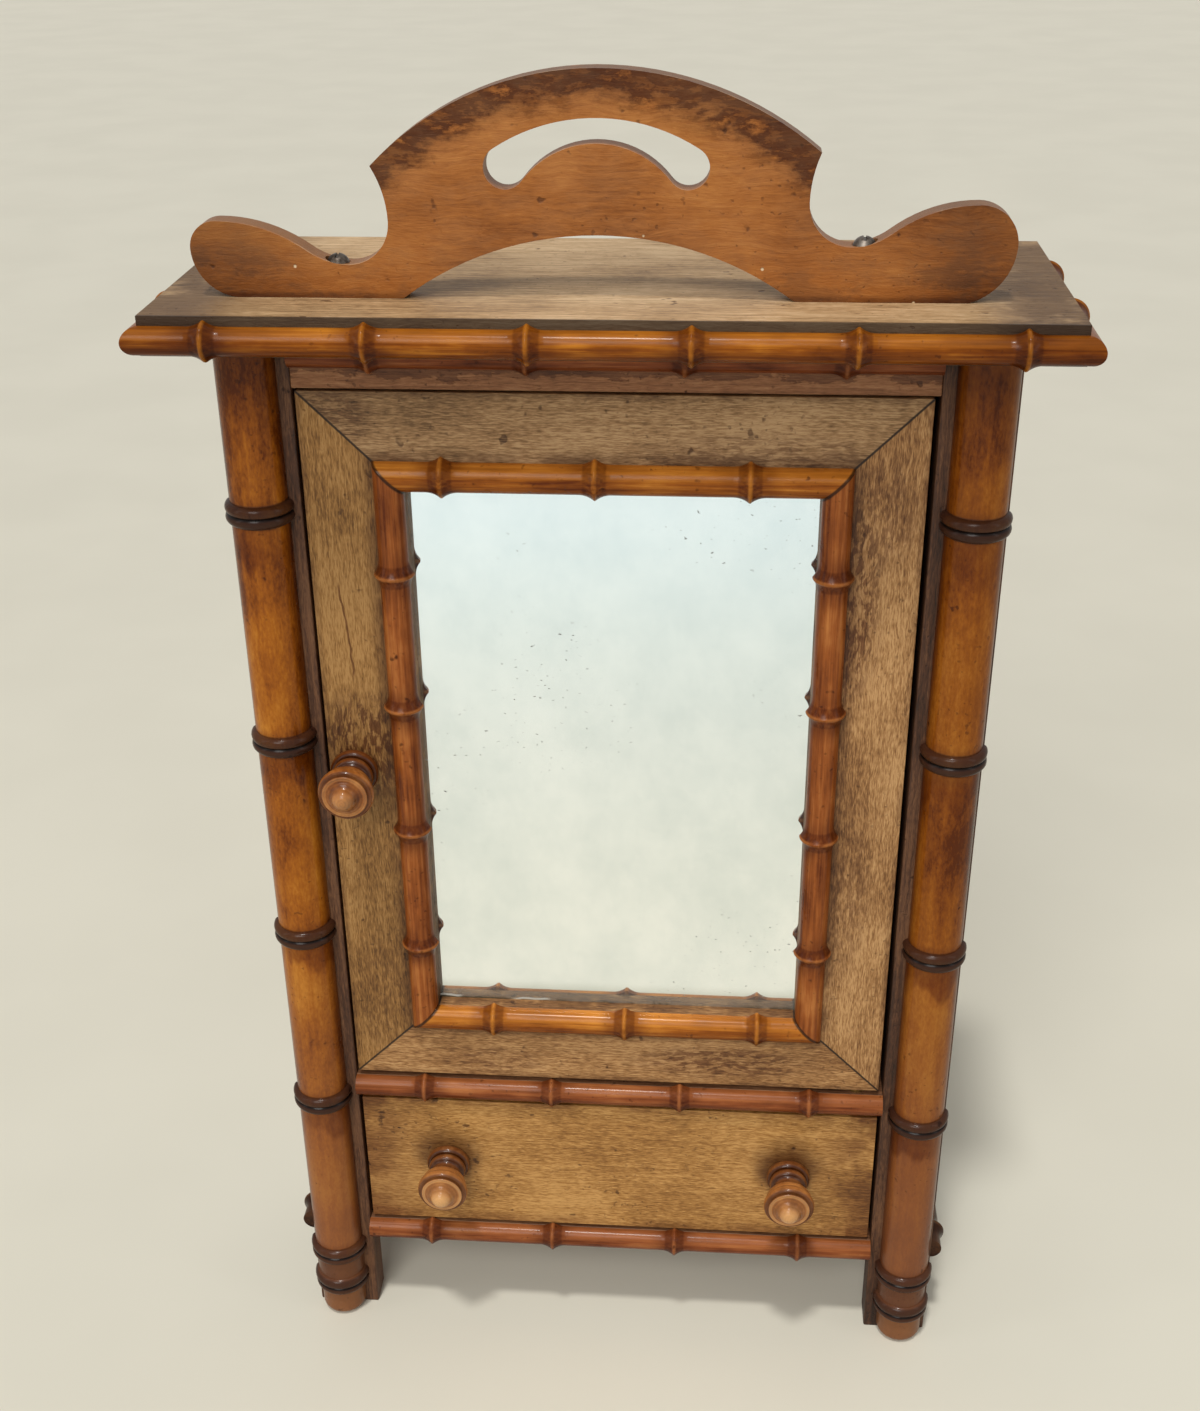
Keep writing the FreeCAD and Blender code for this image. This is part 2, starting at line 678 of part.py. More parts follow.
def make_top():
    """Top board, drilled for the crest's screws, and the mitred canes along its front and sides."""
    across = ("-places.top_half_width", "places.top_half_width")
    through = ("places.top_front_y", "places.top_back_y")
    blank = box("top_board_blank", across, through, ("places.top_under", "places.top_upper"))
    drills = [crest_drill("top_" + hand, sign, "places.top_upper - dims.screw_depth - dims.screw_fit",
                          "dims.screw_depth + dims.screw_fit", "dims.screw_radius + dims.screw_fit")
              for hand, sign in BOTH_HANDS]
    piece("top_board", cut("top_board", blank, *drills))
    past = "(dims.cornice_radius + dims.node_rise + dims.mitre_margin)"
    waste = [("{end} - dims.mitre_margin", "dims.mitre_margin"),
             ("{end} + " + past, "-" + past),
             ("{end} + " + past, "dims.mitre_margin")]
    right_end = [(x.format(end="places.top_half_width"), y) for x, y in waste]
    left_end = [("-(%s)" % x, y) for x, y in reversed(right_end)]
    reach = "(places.top_half_width + dims.cornice_radius + dims.node_rise)"
    front = cane("cornice_front", "-" + reach, reach, "dims.cornice_radius", "dims.cornice_node",
                 "dims.cornice_pitch")
    mitre(front, "cornice_front_mitre", "XY_Plane", right_end, left_end)
    piece("cornice_front", put(front, "0", "places.top_front_y", "places.cornice_z"))
    half_depth = "((places.top_back_y - places.top_front_y) / 2)"
    long_end = half_depth + " + dims.cornice_radius + dims.node_rise"
    for hand, sign in BOTH_HANDS:
        ends = ("-" + half_depth, long_end) if sign < 0 else ("-(%s)" % long_end, half_depth)
        side = cane("cornice_" + hand, *ends, "dims.cornice_radius", signed(sign, "-dims.cornice_side_node"),
                    "dims.cornice_pitch")
        corner = [(x.format(end=half_depth), y) for x, y in waste]
        if sign > 0:
            corner = [("-(%s)" % x, y) for x, y in reversed(corner)]
        mitre(side, "cornice_%s_mitre" % hand, "XY_Plane", corner)
        facing = FACING_RIGHT if sign > 0 else FACING_LEFT
        middle = "(places.top_front_y + places.top_back_y) / 2"
        put(side, signed(sign, "places.top_half_width"), middle, "places.cornice_z", facing)
        piece("cornice_" + hand, side)


def crest_drill(name, sign, low, length, radius):
    """Upright bar where a screw runs down through a saddle of the crest."""
    x = "dims.crest_offset + " + signed(sign, "places.screw_reach")
    return rod(name + "_crest_drill", (x, "places.crest_middle_y", low), radius, length)


def crest_half(hand, sign):
    """Corners and arcs of one half of the crest, from its foot round the scroll and saddle to the tip."""
    own = "dims.crest_%s_" % hand
    saddle = own + "saddle_height"
    climb = own + "scroll_rise"
    scroll_x = "(places.crest_reach - %sscroll_radius)" % own
    scroll_z = "(%s + %s)" % (saddle, climb)
    scroll_side = "(%s - %sscroll_radius)" % (scroll_z, own)
    across = "(%s - places.crest_saddle_reach)" % scroll_x
    both_radii = "((%s ^ 2 + %s ^ 2) / (2 * %s))" % (across, climb, climb)
    share = "dims.crest_swell_share"
    neck_z = "(%s + dims.crest_bite_radius)" % saddle
    tip_run = own + "tip_run"
    tip_rise = own + "tip_rise"
    tip_x = "(places.crest_neck_reach + %s)" % tip_run
    tip_z = "(%s + %s)" % (neck_z, tip_rise)
    foot_run = "dims.crest_foot_inset"
    crown_climb = "(dims.crest_height - %s)" % tip_z
    bend = ("places.crest_saddle_reach + %s * %s" % (across, share), "%s + %s * %s" % (saddle, climb, share))
    corners = [("places.crest_foot_outer", "0"),
               ("places.crest_reach", scroll_side),
               (scroll_x, scroll_z),
               bend,
               ("places.crest_saddle_reach", saddle),
               ("places.crest_neck_reach", neck_z),
               (tip_x, tip_z)]
    arcs = [swell("(%s ^ 2 + %s ^ 2) / (2 * %s)" % (foot_run, scroll_side, foot_run)),
            swell(own + "scroll_radius"),
            swell("%s * (1 - %s)" % (both_radii, share)),
            hollow("%s * %s" % (both_radii, share)),
            hollow("dims.crest_bite_radius"),
            hollow("(%s ^ 2 + %s ^ 2) / (2 * %s)" % (tip_run, tip_rise, tip_run)),
            swell("(%s ^ 2 + %s ^ 2) / (2 * %s)" % (tip_x, crown_climb, crown_climb))]
    return [(signed(sign, x), z) for x, z in corners], arcs


def crest_outline():
    """Outer edge of the crest: a hollow arch between two feet, then each half up to the crown."""
    right, right_arcs = crest_half("right", 1)
    left, left_arcs = crest_half("left", -1)
    arch = "(places.crest_foot_inner ^ 2 + dims.crest_arch_height ^ 2) / (2 * dims.crest_arch_height)"
    corners = [("-places.crest_foot_inner", "0", hollow(arch)), ("places.crest_foot_inner", "0")]
    corners += [(x, z, arc) for (x, z), arc in zip(right, right_arcs)]
    corners += [("0", "dims.crest_height", left_arcs[-1])]
    corners += [(x, z, arc) for (x, z), arc in zip(left[:0:-1], left_arcs[-2::-1])]
    return corners + [left[0]]


def crest_slot():
    """Finger slot: a crown arc, two round lobes and a bump that rises between them, all tangent."""
    lobe_x = "dims.slot_lobe_reach"
    lobe_z = "places.slot_lobe_height"
    crown_share = "(places.slot_crown_radius / (places.slot_crown_radius - dims.slot_lobe_radius))"
    crown_z = "(places.slot_crown_height - places.slot_crown_radius)"
    bump_share = "(dims.slot_lobe_radius / (places.slot_bump_radius + dims.slot_lobe_radius))"
    bump_z = "(places.slot_bump_height - places.slot_bump_radius)"
    crown_end = ("%s * %s" % (lobe_x, crown_share),
                 "%s + (%s - %s) * %s" % (crown_z, lobe_z, crown_z, crown_share))
    outermost = ("%s + dims.slot_lobe_radius" % lobe_x, lobe_z)
    bump_end = ("%s * (1 - %s)" % (lobe_x, bump_share),
                "%s + (%s - %s) * %s" % (lobe_z, bump_z, lobe_z, bump_share))
    lobe = swell("dims.slot_lobe_radius")
    mirrored = [("-(%s)" % x, z) for x, z in (crown_end, outermost, bump_end)]
    return [(*crown_end, swell("places.slot_crown_radius")),
            (*mirrored[0], lobe),
            (*mirrored[1], lobe),
            (*mirrored[2], hollow("places.slot_bump_radius")),
            (*bump_end, lobe),
            (*outermost, lobe)]


def make_crest():
    """Crest board with its slot, drilled and spot-faced in both saddles, and its two slotted screws."""
    body = doc.addObject("PartDesign::Body", "crest_blank")
    outline = drawn(body, "crest_lines", "XZ_Plane", crest_outline(), crest_slot())
    padded(body, "crest_slab", outline, "dims.crest_thickness", backwards=True)
    put(body, "dims.crest_offset", "places.crest_y", "places.top_upper")
    tools = []
    screws = []
    for hand, sign in BOTH_HANDS:
        saddle = "dims.crest_%s_saddle_height" % hand
        seat = "(places.top_upper + %s - dims.screw_seat_depth)" % saddle
        tools.append(crest_drill("through_" + hand, sign, "places.top_upper", saddle,
                                 "dims.screw_radius + dims.screw_fit"))
        tools.append(crest_drill("seat_" + hand, sign, seat, "dims.crest_bite_radius",
                                 "dims.screw_head_radius + dims.screw_seat_gap"))
        screws.append(crest_screw(hand, sign, seat))
    piece("crest_board", cut("crest_board", body, *tools))
    piece("crest_screws", group("crest_screws", screws))


def crest_screw(hand, sign, seat):
    """Round-headed slotted screw that stands on its seat and runs down into the top."""
    low = "places.top_upper - dims.screw_depth"
    shank = crest_drill("screw_" + hand, sign, low, "%s - (%s)" % (seat, low), "dims.screw_radius")
    body = doc.addObject("PartDesign::Body", "crest_screw_head_" + hand)
    dome = "(dims.screw_head_radius ^ 2 + dims.screw_head_height ^ 2) / (2 * dims.screw_head_height)"
    corners = [("0", "0"), ("dims.screw_head_radius", "0", swell(dome)), ("0", "dims.screw_head_height")]
    outline = drawn(body, "crest_screw_dome_" + hand, "XZ_Plane", corners)
    turned(body, "crest_screw_turning_" + hand, outline, "V_Axis", 360)
    x = "dims.crest_offset + " + signed(sign, "places.screw_reach")
    y = "places.crest_middle_y"
    put(body, x, y, seat)
    crown = seat + " + dims.screw_head_height"
    driver = box("crest_screw_slot_" + hand,
                 (x + " - dims.screw_slot_width / 2", x + " + dims.screw_slot_width / 2"),
                 (y + " - dims.screw_head_radius", y + " + dims.screw_head_radius"),
                 (crown + " - dims.screw_slot_depth", crown))
    slotted = cut("crest_screw_" + hand, body, driver)
    return fuse("crest_screw_whole_" + hand, slotted, shank)


# Sides of the door, clockwise from the top: name, turn about Y, and which way it lies from the middle
DOOR_SIDES = (("top", 0, 0, 1), ("right", 90, 1, 0), ("bottom", 180, 0, -1), ("left", 270, -1, 0))
DOOR_MEMBERS = {"top": "door_top_rail", "right": "door_right_stile",
                "bottom": "door_bottom_rail", "left": "door_left_stile"}


def door_side_reach(across):
    """Half the length of a side of the door, and its distance from the middle."""
    if across:
        return "places.door_half_height", "places.door_half_width"
    return "places.door_half_width", "places.door_half_height"


def mitred_slab(half_length, reach, width):
    """Corners of a mitred frame member whose outer edge is upwards."""
    return [("-(%s) + %s" % (half_length, width), "%s - %s" % (reach, width)),
            ("%s - %s" % (half_length, width), "%s - %s" % (reach, width)),
            (half_length, reach), ("-" + half_length, reach)]


def make_door_frame():
    """Four mitred members, each with a rebate behind a thin lip, drilled for the pins and the spindle."""
    pin_hole = "dims.pivot_radius + dims.pivot_fit"
    upper = ("places.pivot_x", "places.pivot_y", "places.door_top - dims.pivot_reach")
    lower = ("places.pivot_x", "places.pivot_y", "places.door_bottom")
    spindle = ("places.door_knob_x", "places.door_front_y", "dims.door_knob_height")
    spindle_hole = "dims.spindle_radius + dims.spindle_fit"
    for side, angle, across, _ in DOOR_SIDES:
        name = DOOR_MEMBERS[side]
        half_length, reach = door_side_reach(across)
        body = doc.addObject("PartDesign::Body", name + "_blank")
        stout = mitred_slab(half_length, reach, "places.rebate_inset")
        plan = drawn(body, name + "_plan", "XZ_Plane", stout)
        padded(body, name + "_stock", plan, "dims.door_thickness", backwards=True)
        thin = mitred_slab(half_length, reach, "places.frame_width")
        lip_plan = drawn(body, name + "_lip_plan", "XZ_Plane", thin)
        padded(body, name + "_lip", lip_plan, "dims.lip_thickness", backwards=True)
        put(body, "places.door_x", "places.door_front_y", "places.door_z", ((0, 1, 0), angle))
        drills = []
        if side in ("top", "right"):
            drills.append(rod(name + "_upper_drill", upper, pin_hole, "dims.pivot_reach"))
        if side in ("bottom", "right"):
            drills.append(rod(name + "_lower_drill", lower, pin_hole, "dims.pivot_reach"))
        if side == "left":
            drills.append(rod(name + "_drill", spindle, spindle_hole, "dims.door_thickness", ALONG_Y))
        piece(name, cut(name, body, *drills))


def make_door_canes():
    """Mitred canes round the looking glass, on the inner margin of the frame."""
    past = "(dims.door_cane_radius + dims.node_rise + dims.mitre_margin)"
    inset = "(dims.frame_margin + dims.door_cane_radius)"
    for side, angle, across, up in DOOR_SIDES:
        half_length, reach = door_side_reach(across)
        middle_length = "(%s - %s)" % (half_length, inset)
        outer_length = "(%s + dims.door_cane_radius)" % middle_length
        name = "door_%s_moulding" % side
        first = "dims.door_%s_node" % side
        body = cane(name, "-" + outer_length, outer_length, "dims.door_cane_radius", first)
        right_end = [("%s - %s" % (middle_length, past), "-" + past),
                     ("%s + %s" % (middle_length, past), "-" + past),
                     ("%s + %s" % (middle_length, past), past)]
        left_end = [("-(%s)" % x, z) for x, z in reversed(right_end)]
        mitre(body, name + "_mitre", "XZ_Plane", right_end, left_end)
        offset = "(%s - %s)" % (reach, inset)
        put(body, "places.door_x + %d * %s" % (across, offset), "places.door_front_y",
            "places.door_z + %d * %s" % (up, offset), ((0, 1, 0), angle))
        piece(name, body)


def make_looking_glass():
    """Glass in the rebate, a backing board behind it, and four beads that keep both in."""
    half_width = "places.glass_half_width"
    half_height = "places.glass_half_height"
    x = ("places.door_x - " + half_width, "places.door_x + " + half_width)
    z = ("places.door_z - " + half_height, "places.door_z + " + half_height)
    piece("mirror_glass", box("mirror_glass", x, ("places.glass_y", "places.backing_y"), z))
    piece("mirror_backing", box("mirror_backing", x, ("places.backing_y", "places.bead_y"), z))
    y = ("places.bead_y", "places.door_back_y")
    outer_x = (x[0] + " - dims.glass_gap", x[1] + " + dims.glass_gap")
    outer_z = (z[0] + " - dims.glass_gap", z[1] + " + dims.glass_gap")
    inner_z = (outer_z[0] + " + dims.bead_width", outer_z[1] + " - dims.bead_width")
    beads = [box("bead_bottom", outer_x, y, (outer_z[0], inner_z[0])),
             box("bead_top", outer_x, y, (inner_z[1], outer_z[1])),
             box("bead_left", (outer_x[0], outer_x[0] + " + dims.bead_width"), y, inner_z),
             box("bead_right", (outer_x[1] + " - dims.bead_width", outer_x[1]), y, inner_z)]
    piece("glazing_beads", group("glazing_beads", beads))


def make_pivots():
    """Pins that the door swings on, a washer that carries it, and the batten that it shuts against."""
    length = "dims.pivot_seat + (%s) + dims.pivot_reach - dims.washer_gap"
    lower = ("places.pivot_x", "places.pivot_y", "places.shelf_top - dims.pivot_seat")
    upper = ("places.pivot_x", "places.pivot_y", "places.door_top - dims.pivot_reach + dims.washer_gap")
    lower_length = length % "places.door_bottom - places.shelf_top"
    upper_length = length % "dims.door_head_gap"
    piece("lower_pivot_pin", rod("lower_pivot_pin", lower, "dims.pivot_radius", lower_length))
    piece("upper_pivot_pin", rod("upper_pivot_pin", upper, "dims.pivot_radius", upper_length))
    foot = ("places.pivot_x", "places.pivot_y", "places.shelf_top")
    thickness = "places.door_bottom - places.shelf_top - dims.washer_gap"
    disc = rod("pivot_washer_disc", foot, "dims.washer_radius", thickness)
    hole = rod("pivot_washer_hole", foot, "dims.pivot_radius + dims.pivot_fit", thickness)
    piece("pivot_washer", cut("pivot_washer", disc, hole))
    piece("door_stop", box("door_stop", ("-dims.door_stop_length / 2", "dims.door_stop_length / 2"),
                           ("places.rail_back_y", "places.rail_back_y + dims.door_stop_depth"),
                           ("places.rail_under - dims.door_stop_drop", "places.top_under")))


def turned_knob(name, bore, depth):
    """Knob turned about Z from its base: collar, bead, neck, round head, dished face and button."""
    heights = ["0"]
    for length in ("collar_length", "bead_length", "neck_length", "flare_length", "rim_length"):
        heights.append(heights[-1] + " + dims.knob_" + length)
    face = heights[5] + " + dims.knob_face_step"
    button = face + " + dims.knob_face_rise"
    dome = "(dims.knob_button_radius ^ 2 + dims.knob_button_rise ^ 2) / (2 * dims.knob_button_rise)"
    corners = [("0", "0"),
               ("dims.knob_collar_radius", heights[0], bow("dims.knob_collar_sag")),
               ("dims.knob_collar_radius", heights[1]),
               ("dims.knob_bead_radius", heights[1], bow("dims.knob_bead_sag")),
               ("dims.knob_neck_radius", heights[2], dip("dims.knob_neck_sag")),
               ("dims.knob_neck_radius", heights[3], bow("dims.knob_flare_sag")),
               ("dims.knob_head_radius", heights[4], bow("dims.knob_rim_sag")),
               ("dims.knob_head_radius", heights[5]),
               ("dims.knob_face_radius", heights[5], bow("dims.knob_face_step / 4")),
               ("dims.knob_face_radius", face, dip("dims.knob_face_sag")),
               ("dims.knob_button_radius", button, swell(dome)),
               ("0", button + " + dims.knob_button_rise")]
    body = doc.addObject("PartDesign::Body", name + "_turned")
    turned(body, name + "_turning", drawn(body, name + "_outline", "XZ_Plane", corners), "V_Axis", 360)
    hole = rod(name + "_bore", ("0", "0", "0"), bore, depth)
    return cut(name, body, hole)


def make_latch():
    """Door knob on a spindle through the stile, and the bar that it turns behind the leg."""
    knob = turned_knob("door_knob", "dims.spindle_radius + dims.spindle_fit", "dims.spindle_grip")
    put(knob, "places.door_knob_x", "places.door_knob_y", "dims.door_knob_height", OUT_OF_FRONT)
    piece("door_knob", knob)
    x = "places.door_knob_x"
    z = "dims.door_knob_height"
    back = "places.latch_back_y + dims.latch_nut_thickness"
    start = (x, "places.door_knob_y - dims.spindle_grip", z)
    length = back + " - (%s)" % start[1]
    piece("latch_spindle", rod("latch_spindle", start, "dims.spindle_radius", length, ALONG_Y))
    hole = rod("latch_hole", (x, "places.door_back_y", z), "dims.spindle_radius + dims.spindle_fit",
               back + " - places.door_back_y", ALONG_Y)
    bar = box("latch_bar_blank", (x + " - dims.latch_width / 2", x + " + dims.latch_width / 2"),
              ("places.latch_y", "places.latch_back_y"), (z + " - dims.latch_arm", z + " + dims.latch_tail"))
    piece("latch_bar", cut("latch_bar", bar, hole))
    ring = rod("latch_collar_blank", (x, "places.door_back_y + dims.latch_collar_gap", z),
               "dims.latch_collar_radius",
               "places.latch_y - places.door_back_y - dims.latch_collar_gap", ALONG_Y)
    piece("latch_collar", cut("latch_collar", ring, hole))
    nut = doc.addObject("Part::Prism", "latch_nut_blank")
    nut.Polygon = 4
    nut.setExpression("Circumradius", "dims.latch_nut_radius")
    nut.setExpression("Height", "dims.latch_nut_thickness")
    put(nut, x, "places.latch_back_y", z, ALONG_Y)
    piece("latch_nut", cut("latch_nut", nut, hole))


def make_drawer():
    """Drawer box: its bottom slides into grooves in the front and the sides, and runs under the back."""
    groove_z = ("places.drawer_groove - dims.groove_gap",
                "places.drawer_groove + dims.drawer_bottom_thickness + dims.groove_gap")
    tongue = "(places.drawer_inner + dims.groove_depth)"
    groove_x = ("-%s - dims.groove_gap" % tongue, "%s + dims.groove_gap" % tongue)
    front_groove = ("places.drawer_inner_y - dims.groove_depth - dims.groove_gap", "places.drawer_inner_y")
    blank = box("drawer_front_blank", ("-places.drawer_half_width", "places.drawer_half_width"),
                ("places.drawer_front_y", "places.drawer_inner_y"),
                ("places.drawer_low", "places.drawer_high"))
    tools = [box("drawer_front_groove", groove_x, front_groove, groove_z)]
    screws = []
    for hand, sign in BOTH_HANDS:
        x = signed(sign, "places.drawer_knob_x")
        start = (x, "places.drawer_front_y", "places.drawer_knob_z")
        tools.append(rod("drawer_front_hole_" + hand, start, "dims.knob_screw_radius + dims.screw_fit",
                         "dims.drawer_front_thickness", ALONG_Y))
        knob = turned_knob("drawer_knob_" + hand, "dims.knob_screw_radius + dims.screw_fit",
                           "dims.knob_screw_grip + dims.screw_fit")
        piece("drawer_knob_" + hand, put(knob, *start, OUT_OF_FRONT))
        shank = rod("knob_screw_shank_" + hand, (x, "places.drawer_front_y - dims.knob_screw_grip", start[2]),
                    "dims.knob_screw_radius", "dims.knob_screw_grip + dims.drawer_front_thickness", ALONG_Y)
        head = rod("knob_screw_head_" + hand, (x, "places.drawer_inner_y", start[2]),
                   "dims.knob_screw_head_radius", "dims.knob_screw_head_height", ALONG_Y)
        screws.append(fuse("knob_screw_" + hand, shank, head))
        along = ("places.drawer_inner_y", "places.drawer_back_y")
        wall = box("drawer_side_blank_" + hand, spread(sign, "places.drawer_inner", "places.drawer_outer"),
                   along, ("places.drawer_floor", "places.drawer_rim"))
        inlet = spread(sign, "places.drawer_inner", tongue + " + dims.groove_gap")
        slot = box("drawer_side_groove_" + hand, inlet, along, groove_z)
        piece("drawer_side_" + hand, cut("drawer_side_" + hand, wall, slot))
    piece("drawer_front", cut("drawer_front", blank, *tools))
    piece("drawer_knob_screws", group("drawer_knob_screws", screws))
    panel_y = ("places.drawer_inner_y - dims.groove_depth", "places.drawer_back_y")
    panel_z = ("places.drawer_groove", "places.drawer_groove + dims.drawer_bottom_thickness")
    piece("drawer_bottom", box("drawer_bottom", ("-" + tongue, tongue), panel_y, panel_z))
    piece("drawer_back", box("drawer_back", ("-places.drawer_inner", "places.drawer_inner"),
                             ("places.drawer_back_y - dims.drawer_wall", "places.drawer_back_y"),
                             (panel_z[1], "places.drawer_rim")))


def make_drawer_runs():
    """Guides along both sides of the drawer, and two stops behind it, on the bottom board."""
    stops = []
    for hand, sign in BOTH_HANDS:
        beside = spread(sign, "places.guide_inner", "places.guide_inner + dims.guide_width")
        guide = box("drawer_guide_" + hand, beside, ("places.leg_back_y", "places.rear_leg_y"),
                    ("places.bottom_top", "places.bottom_top + dims.guide_height"))
        piece("drawer_guide_" + hand, guide)
        across = spread(sign, "dims.stop_reach", "dims.stop_reach + dims.stop_length")
        behind = ("places.inner_back_y - dims.stop_depth", "places.inner_back_y")
        high = ("places.bottom_top", "places.bottom_top + dims.stop_height")
        stops.append(box("drawer_stop_" + hand, across, behind, high))
    piece("drawer_stops", group("drawer_stops", stops))


def write_pieces():
    """Checks every object and every finished shape, then writes each sub-part to its own file."""
    doc.recompute()
    for made in doc.Objects:
        if "Invalid" in made.State or "Error" in made.State:
            raise RuntimeError("%s failed: %s" % (made.Name, made.State))
    for name, made in pieces.items():
        if made.Shape.isNull() or not made.Shape.isValid() or not made.Shape.Solids:
            raise RuntimeError(name + " has no sound shape")
    os.makedirs("parts", exist_ok=True)
    for name, made in pieces.items():
        made.Shape.exportStep("parts/%s.step" % name)


make_legs()
make_back()
make_sides()
make_rails()
make_posts()
make_top()
make_crest()
make_door_frame()
make_door_canes()
make_looking_glass()
make_pivots()
make_latch()
make_drawer()
make_drawer_runs()
write_pieces()
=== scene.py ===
import json
import math

import bpy
import bmesh
import numpy as np
from mathutils import Matrix, Vector


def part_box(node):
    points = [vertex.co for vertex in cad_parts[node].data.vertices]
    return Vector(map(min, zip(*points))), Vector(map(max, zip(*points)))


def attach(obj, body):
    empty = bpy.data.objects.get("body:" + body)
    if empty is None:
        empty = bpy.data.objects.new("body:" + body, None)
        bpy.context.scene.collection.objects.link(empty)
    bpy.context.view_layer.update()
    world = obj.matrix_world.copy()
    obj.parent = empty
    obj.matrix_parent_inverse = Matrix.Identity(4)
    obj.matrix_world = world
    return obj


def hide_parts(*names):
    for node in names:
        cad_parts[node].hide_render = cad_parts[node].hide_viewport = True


# Looks of the small mirrored cabinet. Metres, the CAD frame: +Z up, the front faces -Y.

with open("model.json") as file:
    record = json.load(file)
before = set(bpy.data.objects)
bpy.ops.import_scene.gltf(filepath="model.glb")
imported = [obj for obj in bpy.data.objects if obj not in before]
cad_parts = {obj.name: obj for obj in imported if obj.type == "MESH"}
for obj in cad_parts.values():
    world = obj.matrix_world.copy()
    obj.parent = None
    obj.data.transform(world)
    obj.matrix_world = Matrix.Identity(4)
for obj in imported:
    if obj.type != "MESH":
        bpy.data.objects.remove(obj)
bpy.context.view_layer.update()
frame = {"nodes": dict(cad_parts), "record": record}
NODES = frame["nodes"]
BODIES = frame["record"]["behaviour"]["bodies"]
BODY_OF = {node: body for body, members in BODIES.items() for node in members}
MM = 0.001

# Where the pieces are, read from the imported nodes
DOOR_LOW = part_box("door_left_stile")[0]
DOOR_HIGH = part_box("door_right_stile")[1]
DOOR_X = (DOOR_LOW.x + DOOR_HIGH.x) / 2
DOOR_Z = (DOOR_LOW.z + DOOR_HIGH.z) / 2
DOOR_HALF_WIDTH = (DOOR_HIGH.x - DOOR_LOW.x) / 2
DOOR_HALF_HEIGHT = (DOOR_HIGH.z - DOOR_LOW.z) / 2
FACE_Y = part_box("front_leg_left")[0].y
TOP_LOW, TOP_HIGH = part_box("top_board")
CREST_LOW, CREST_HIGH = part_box("crest_board")

# Sizes of the forms that the looks follow
FRAME_MARGIN = 28.8 * MM
RINGS = [42.2 * MM, 142.2 * MM, 240.1 * MM, 341.6 * MM, 447.7 * MM]
FOOT_RING = 20.6 * MM
POST_RADIUS = 12.1 * MM
CREST_CROWN_RADIUS = 119 * MM
KNOB_GROOVES = (4.6 * MM, 8.6 * MM, 23.4 * MM)
GLASS_SIGHT_SIDE = 5.5 * MM
GLASS_SIGHT_FOOT = 5 * MM

# The crack in the left stile: how far left of the middle, its lean, and the heights that it spans
CRACK_ASIDE = 117.5 * MM
CRACK_LEAN = 0.075
CRACK_PIVOT = 417 * MM
CRACK_FOOT, CRACK_HEAD = 374 * MM, 412 * MM

# Worn edges of the boards
MERGE_DISTANCE = 1e-6
FLAT_ANGLE = math.radians(0.5)
SMOOTH_ANGLE = math.radians(30)
BEVEL_ANGLE = math.radians(35)
BEVEL_SEGMENTS = 2

# Sockets of the Mix node when it mixes colours
MIX_SHARE, MIX_FIRST, MIX_SECOND, MIX_RESULT = 0, 6, 7, 2


def middle(node):
    """Middle of a node's box."""
    low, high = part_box(node)
    return (low + high) / 2


def tone(red, green, blue):
    """Colour as seen, 0 to 255, as the linear numbers that a shader takes."""
    seen = np.array([red, green, blue]) / 255
    linear = np.where(seen <= 0.04045, seen / 12.92, ((seen + 0.055) / 1.055) ** 2.4)
    return (*linear.tolist(), 1.0)


def tint(red, green, blue):
    """Linear colour, 0 to 1, that a stain multiplies another by."""
    return (red, green, blue, 1)


class Value:
    """A value in a material: operators add Math nodes to it, and node() adds any other node."""

    def __init__(self, tree, socket=None):
        self.tree = tree
        self.socket = socket

    def node(self, kind, settings=None, inputs=None, output=0):
        """Adds a node: its settings, then its sockets' values or links. Gives one output."""
        made = self.tree.nodes.new("ShaderNode" + kind)
        for name, setting in (settings or {}).items():
            if name == "stops":
                ramp = made.color_ramp.elements
                while len(ramp) < len(setting):
                    ramp.new(0.5)
                for stop, (position, colour) in zip(ramp, setting):
                    stop.position = position
                    stop.color = colour
            else:
                setattr(made, name, setting)
        for name, given in (inputs or {}).items():
            if isinstance(given, Value):
                self.tree.links.new(given.socket, made.inputs[name])
            else:
                made.inputs[name].default_value = given
        return Value(self.tree, made.outputs[output])

    def math(self, operation, *others):
        """This value and others through one Math node."""
        return self.node("Math", {"operation": operation}, dict(enumerate((self, *others))))

    def __add__(self, other):
        return self.math("ADD", other)

    __radd__ = __add__

    def __mul__(self, other):
        return self.math("MULTIPLY", other)

    __rmul__ = __mul__

    def __sub__(self, other):
        return self.math("SUBTRACT", other)

    def __rsub__(self, other):
        return self.node("Math", {"operation": "SUBTRACT"}, {0: other, 1: self})

    def __truediv__(self, other):
        return self.math("DIVIDE", other)

    def __abs__(self):
        return self.math("ABSOLUTE")

    def rise(self, low, high):
        """0 below low and 1 above high, smooth between them."""
        limits = {"Value": self, "From Min": low, "From Max": high}
        return self.node("MapRange", {"interpolation_type": "SMOOTHSTEP"}, limits)

    def fall(self, low, high):
        """1 below low and 0 above high, smooth between them."""
        return 1 - self.rise(low, high)

    def band(self, low, high, soft):
        """1 between low and high, and 0 a soft margin outside them."""
        return self.rise(low - soft, low) * self.fall(high, high + soft)


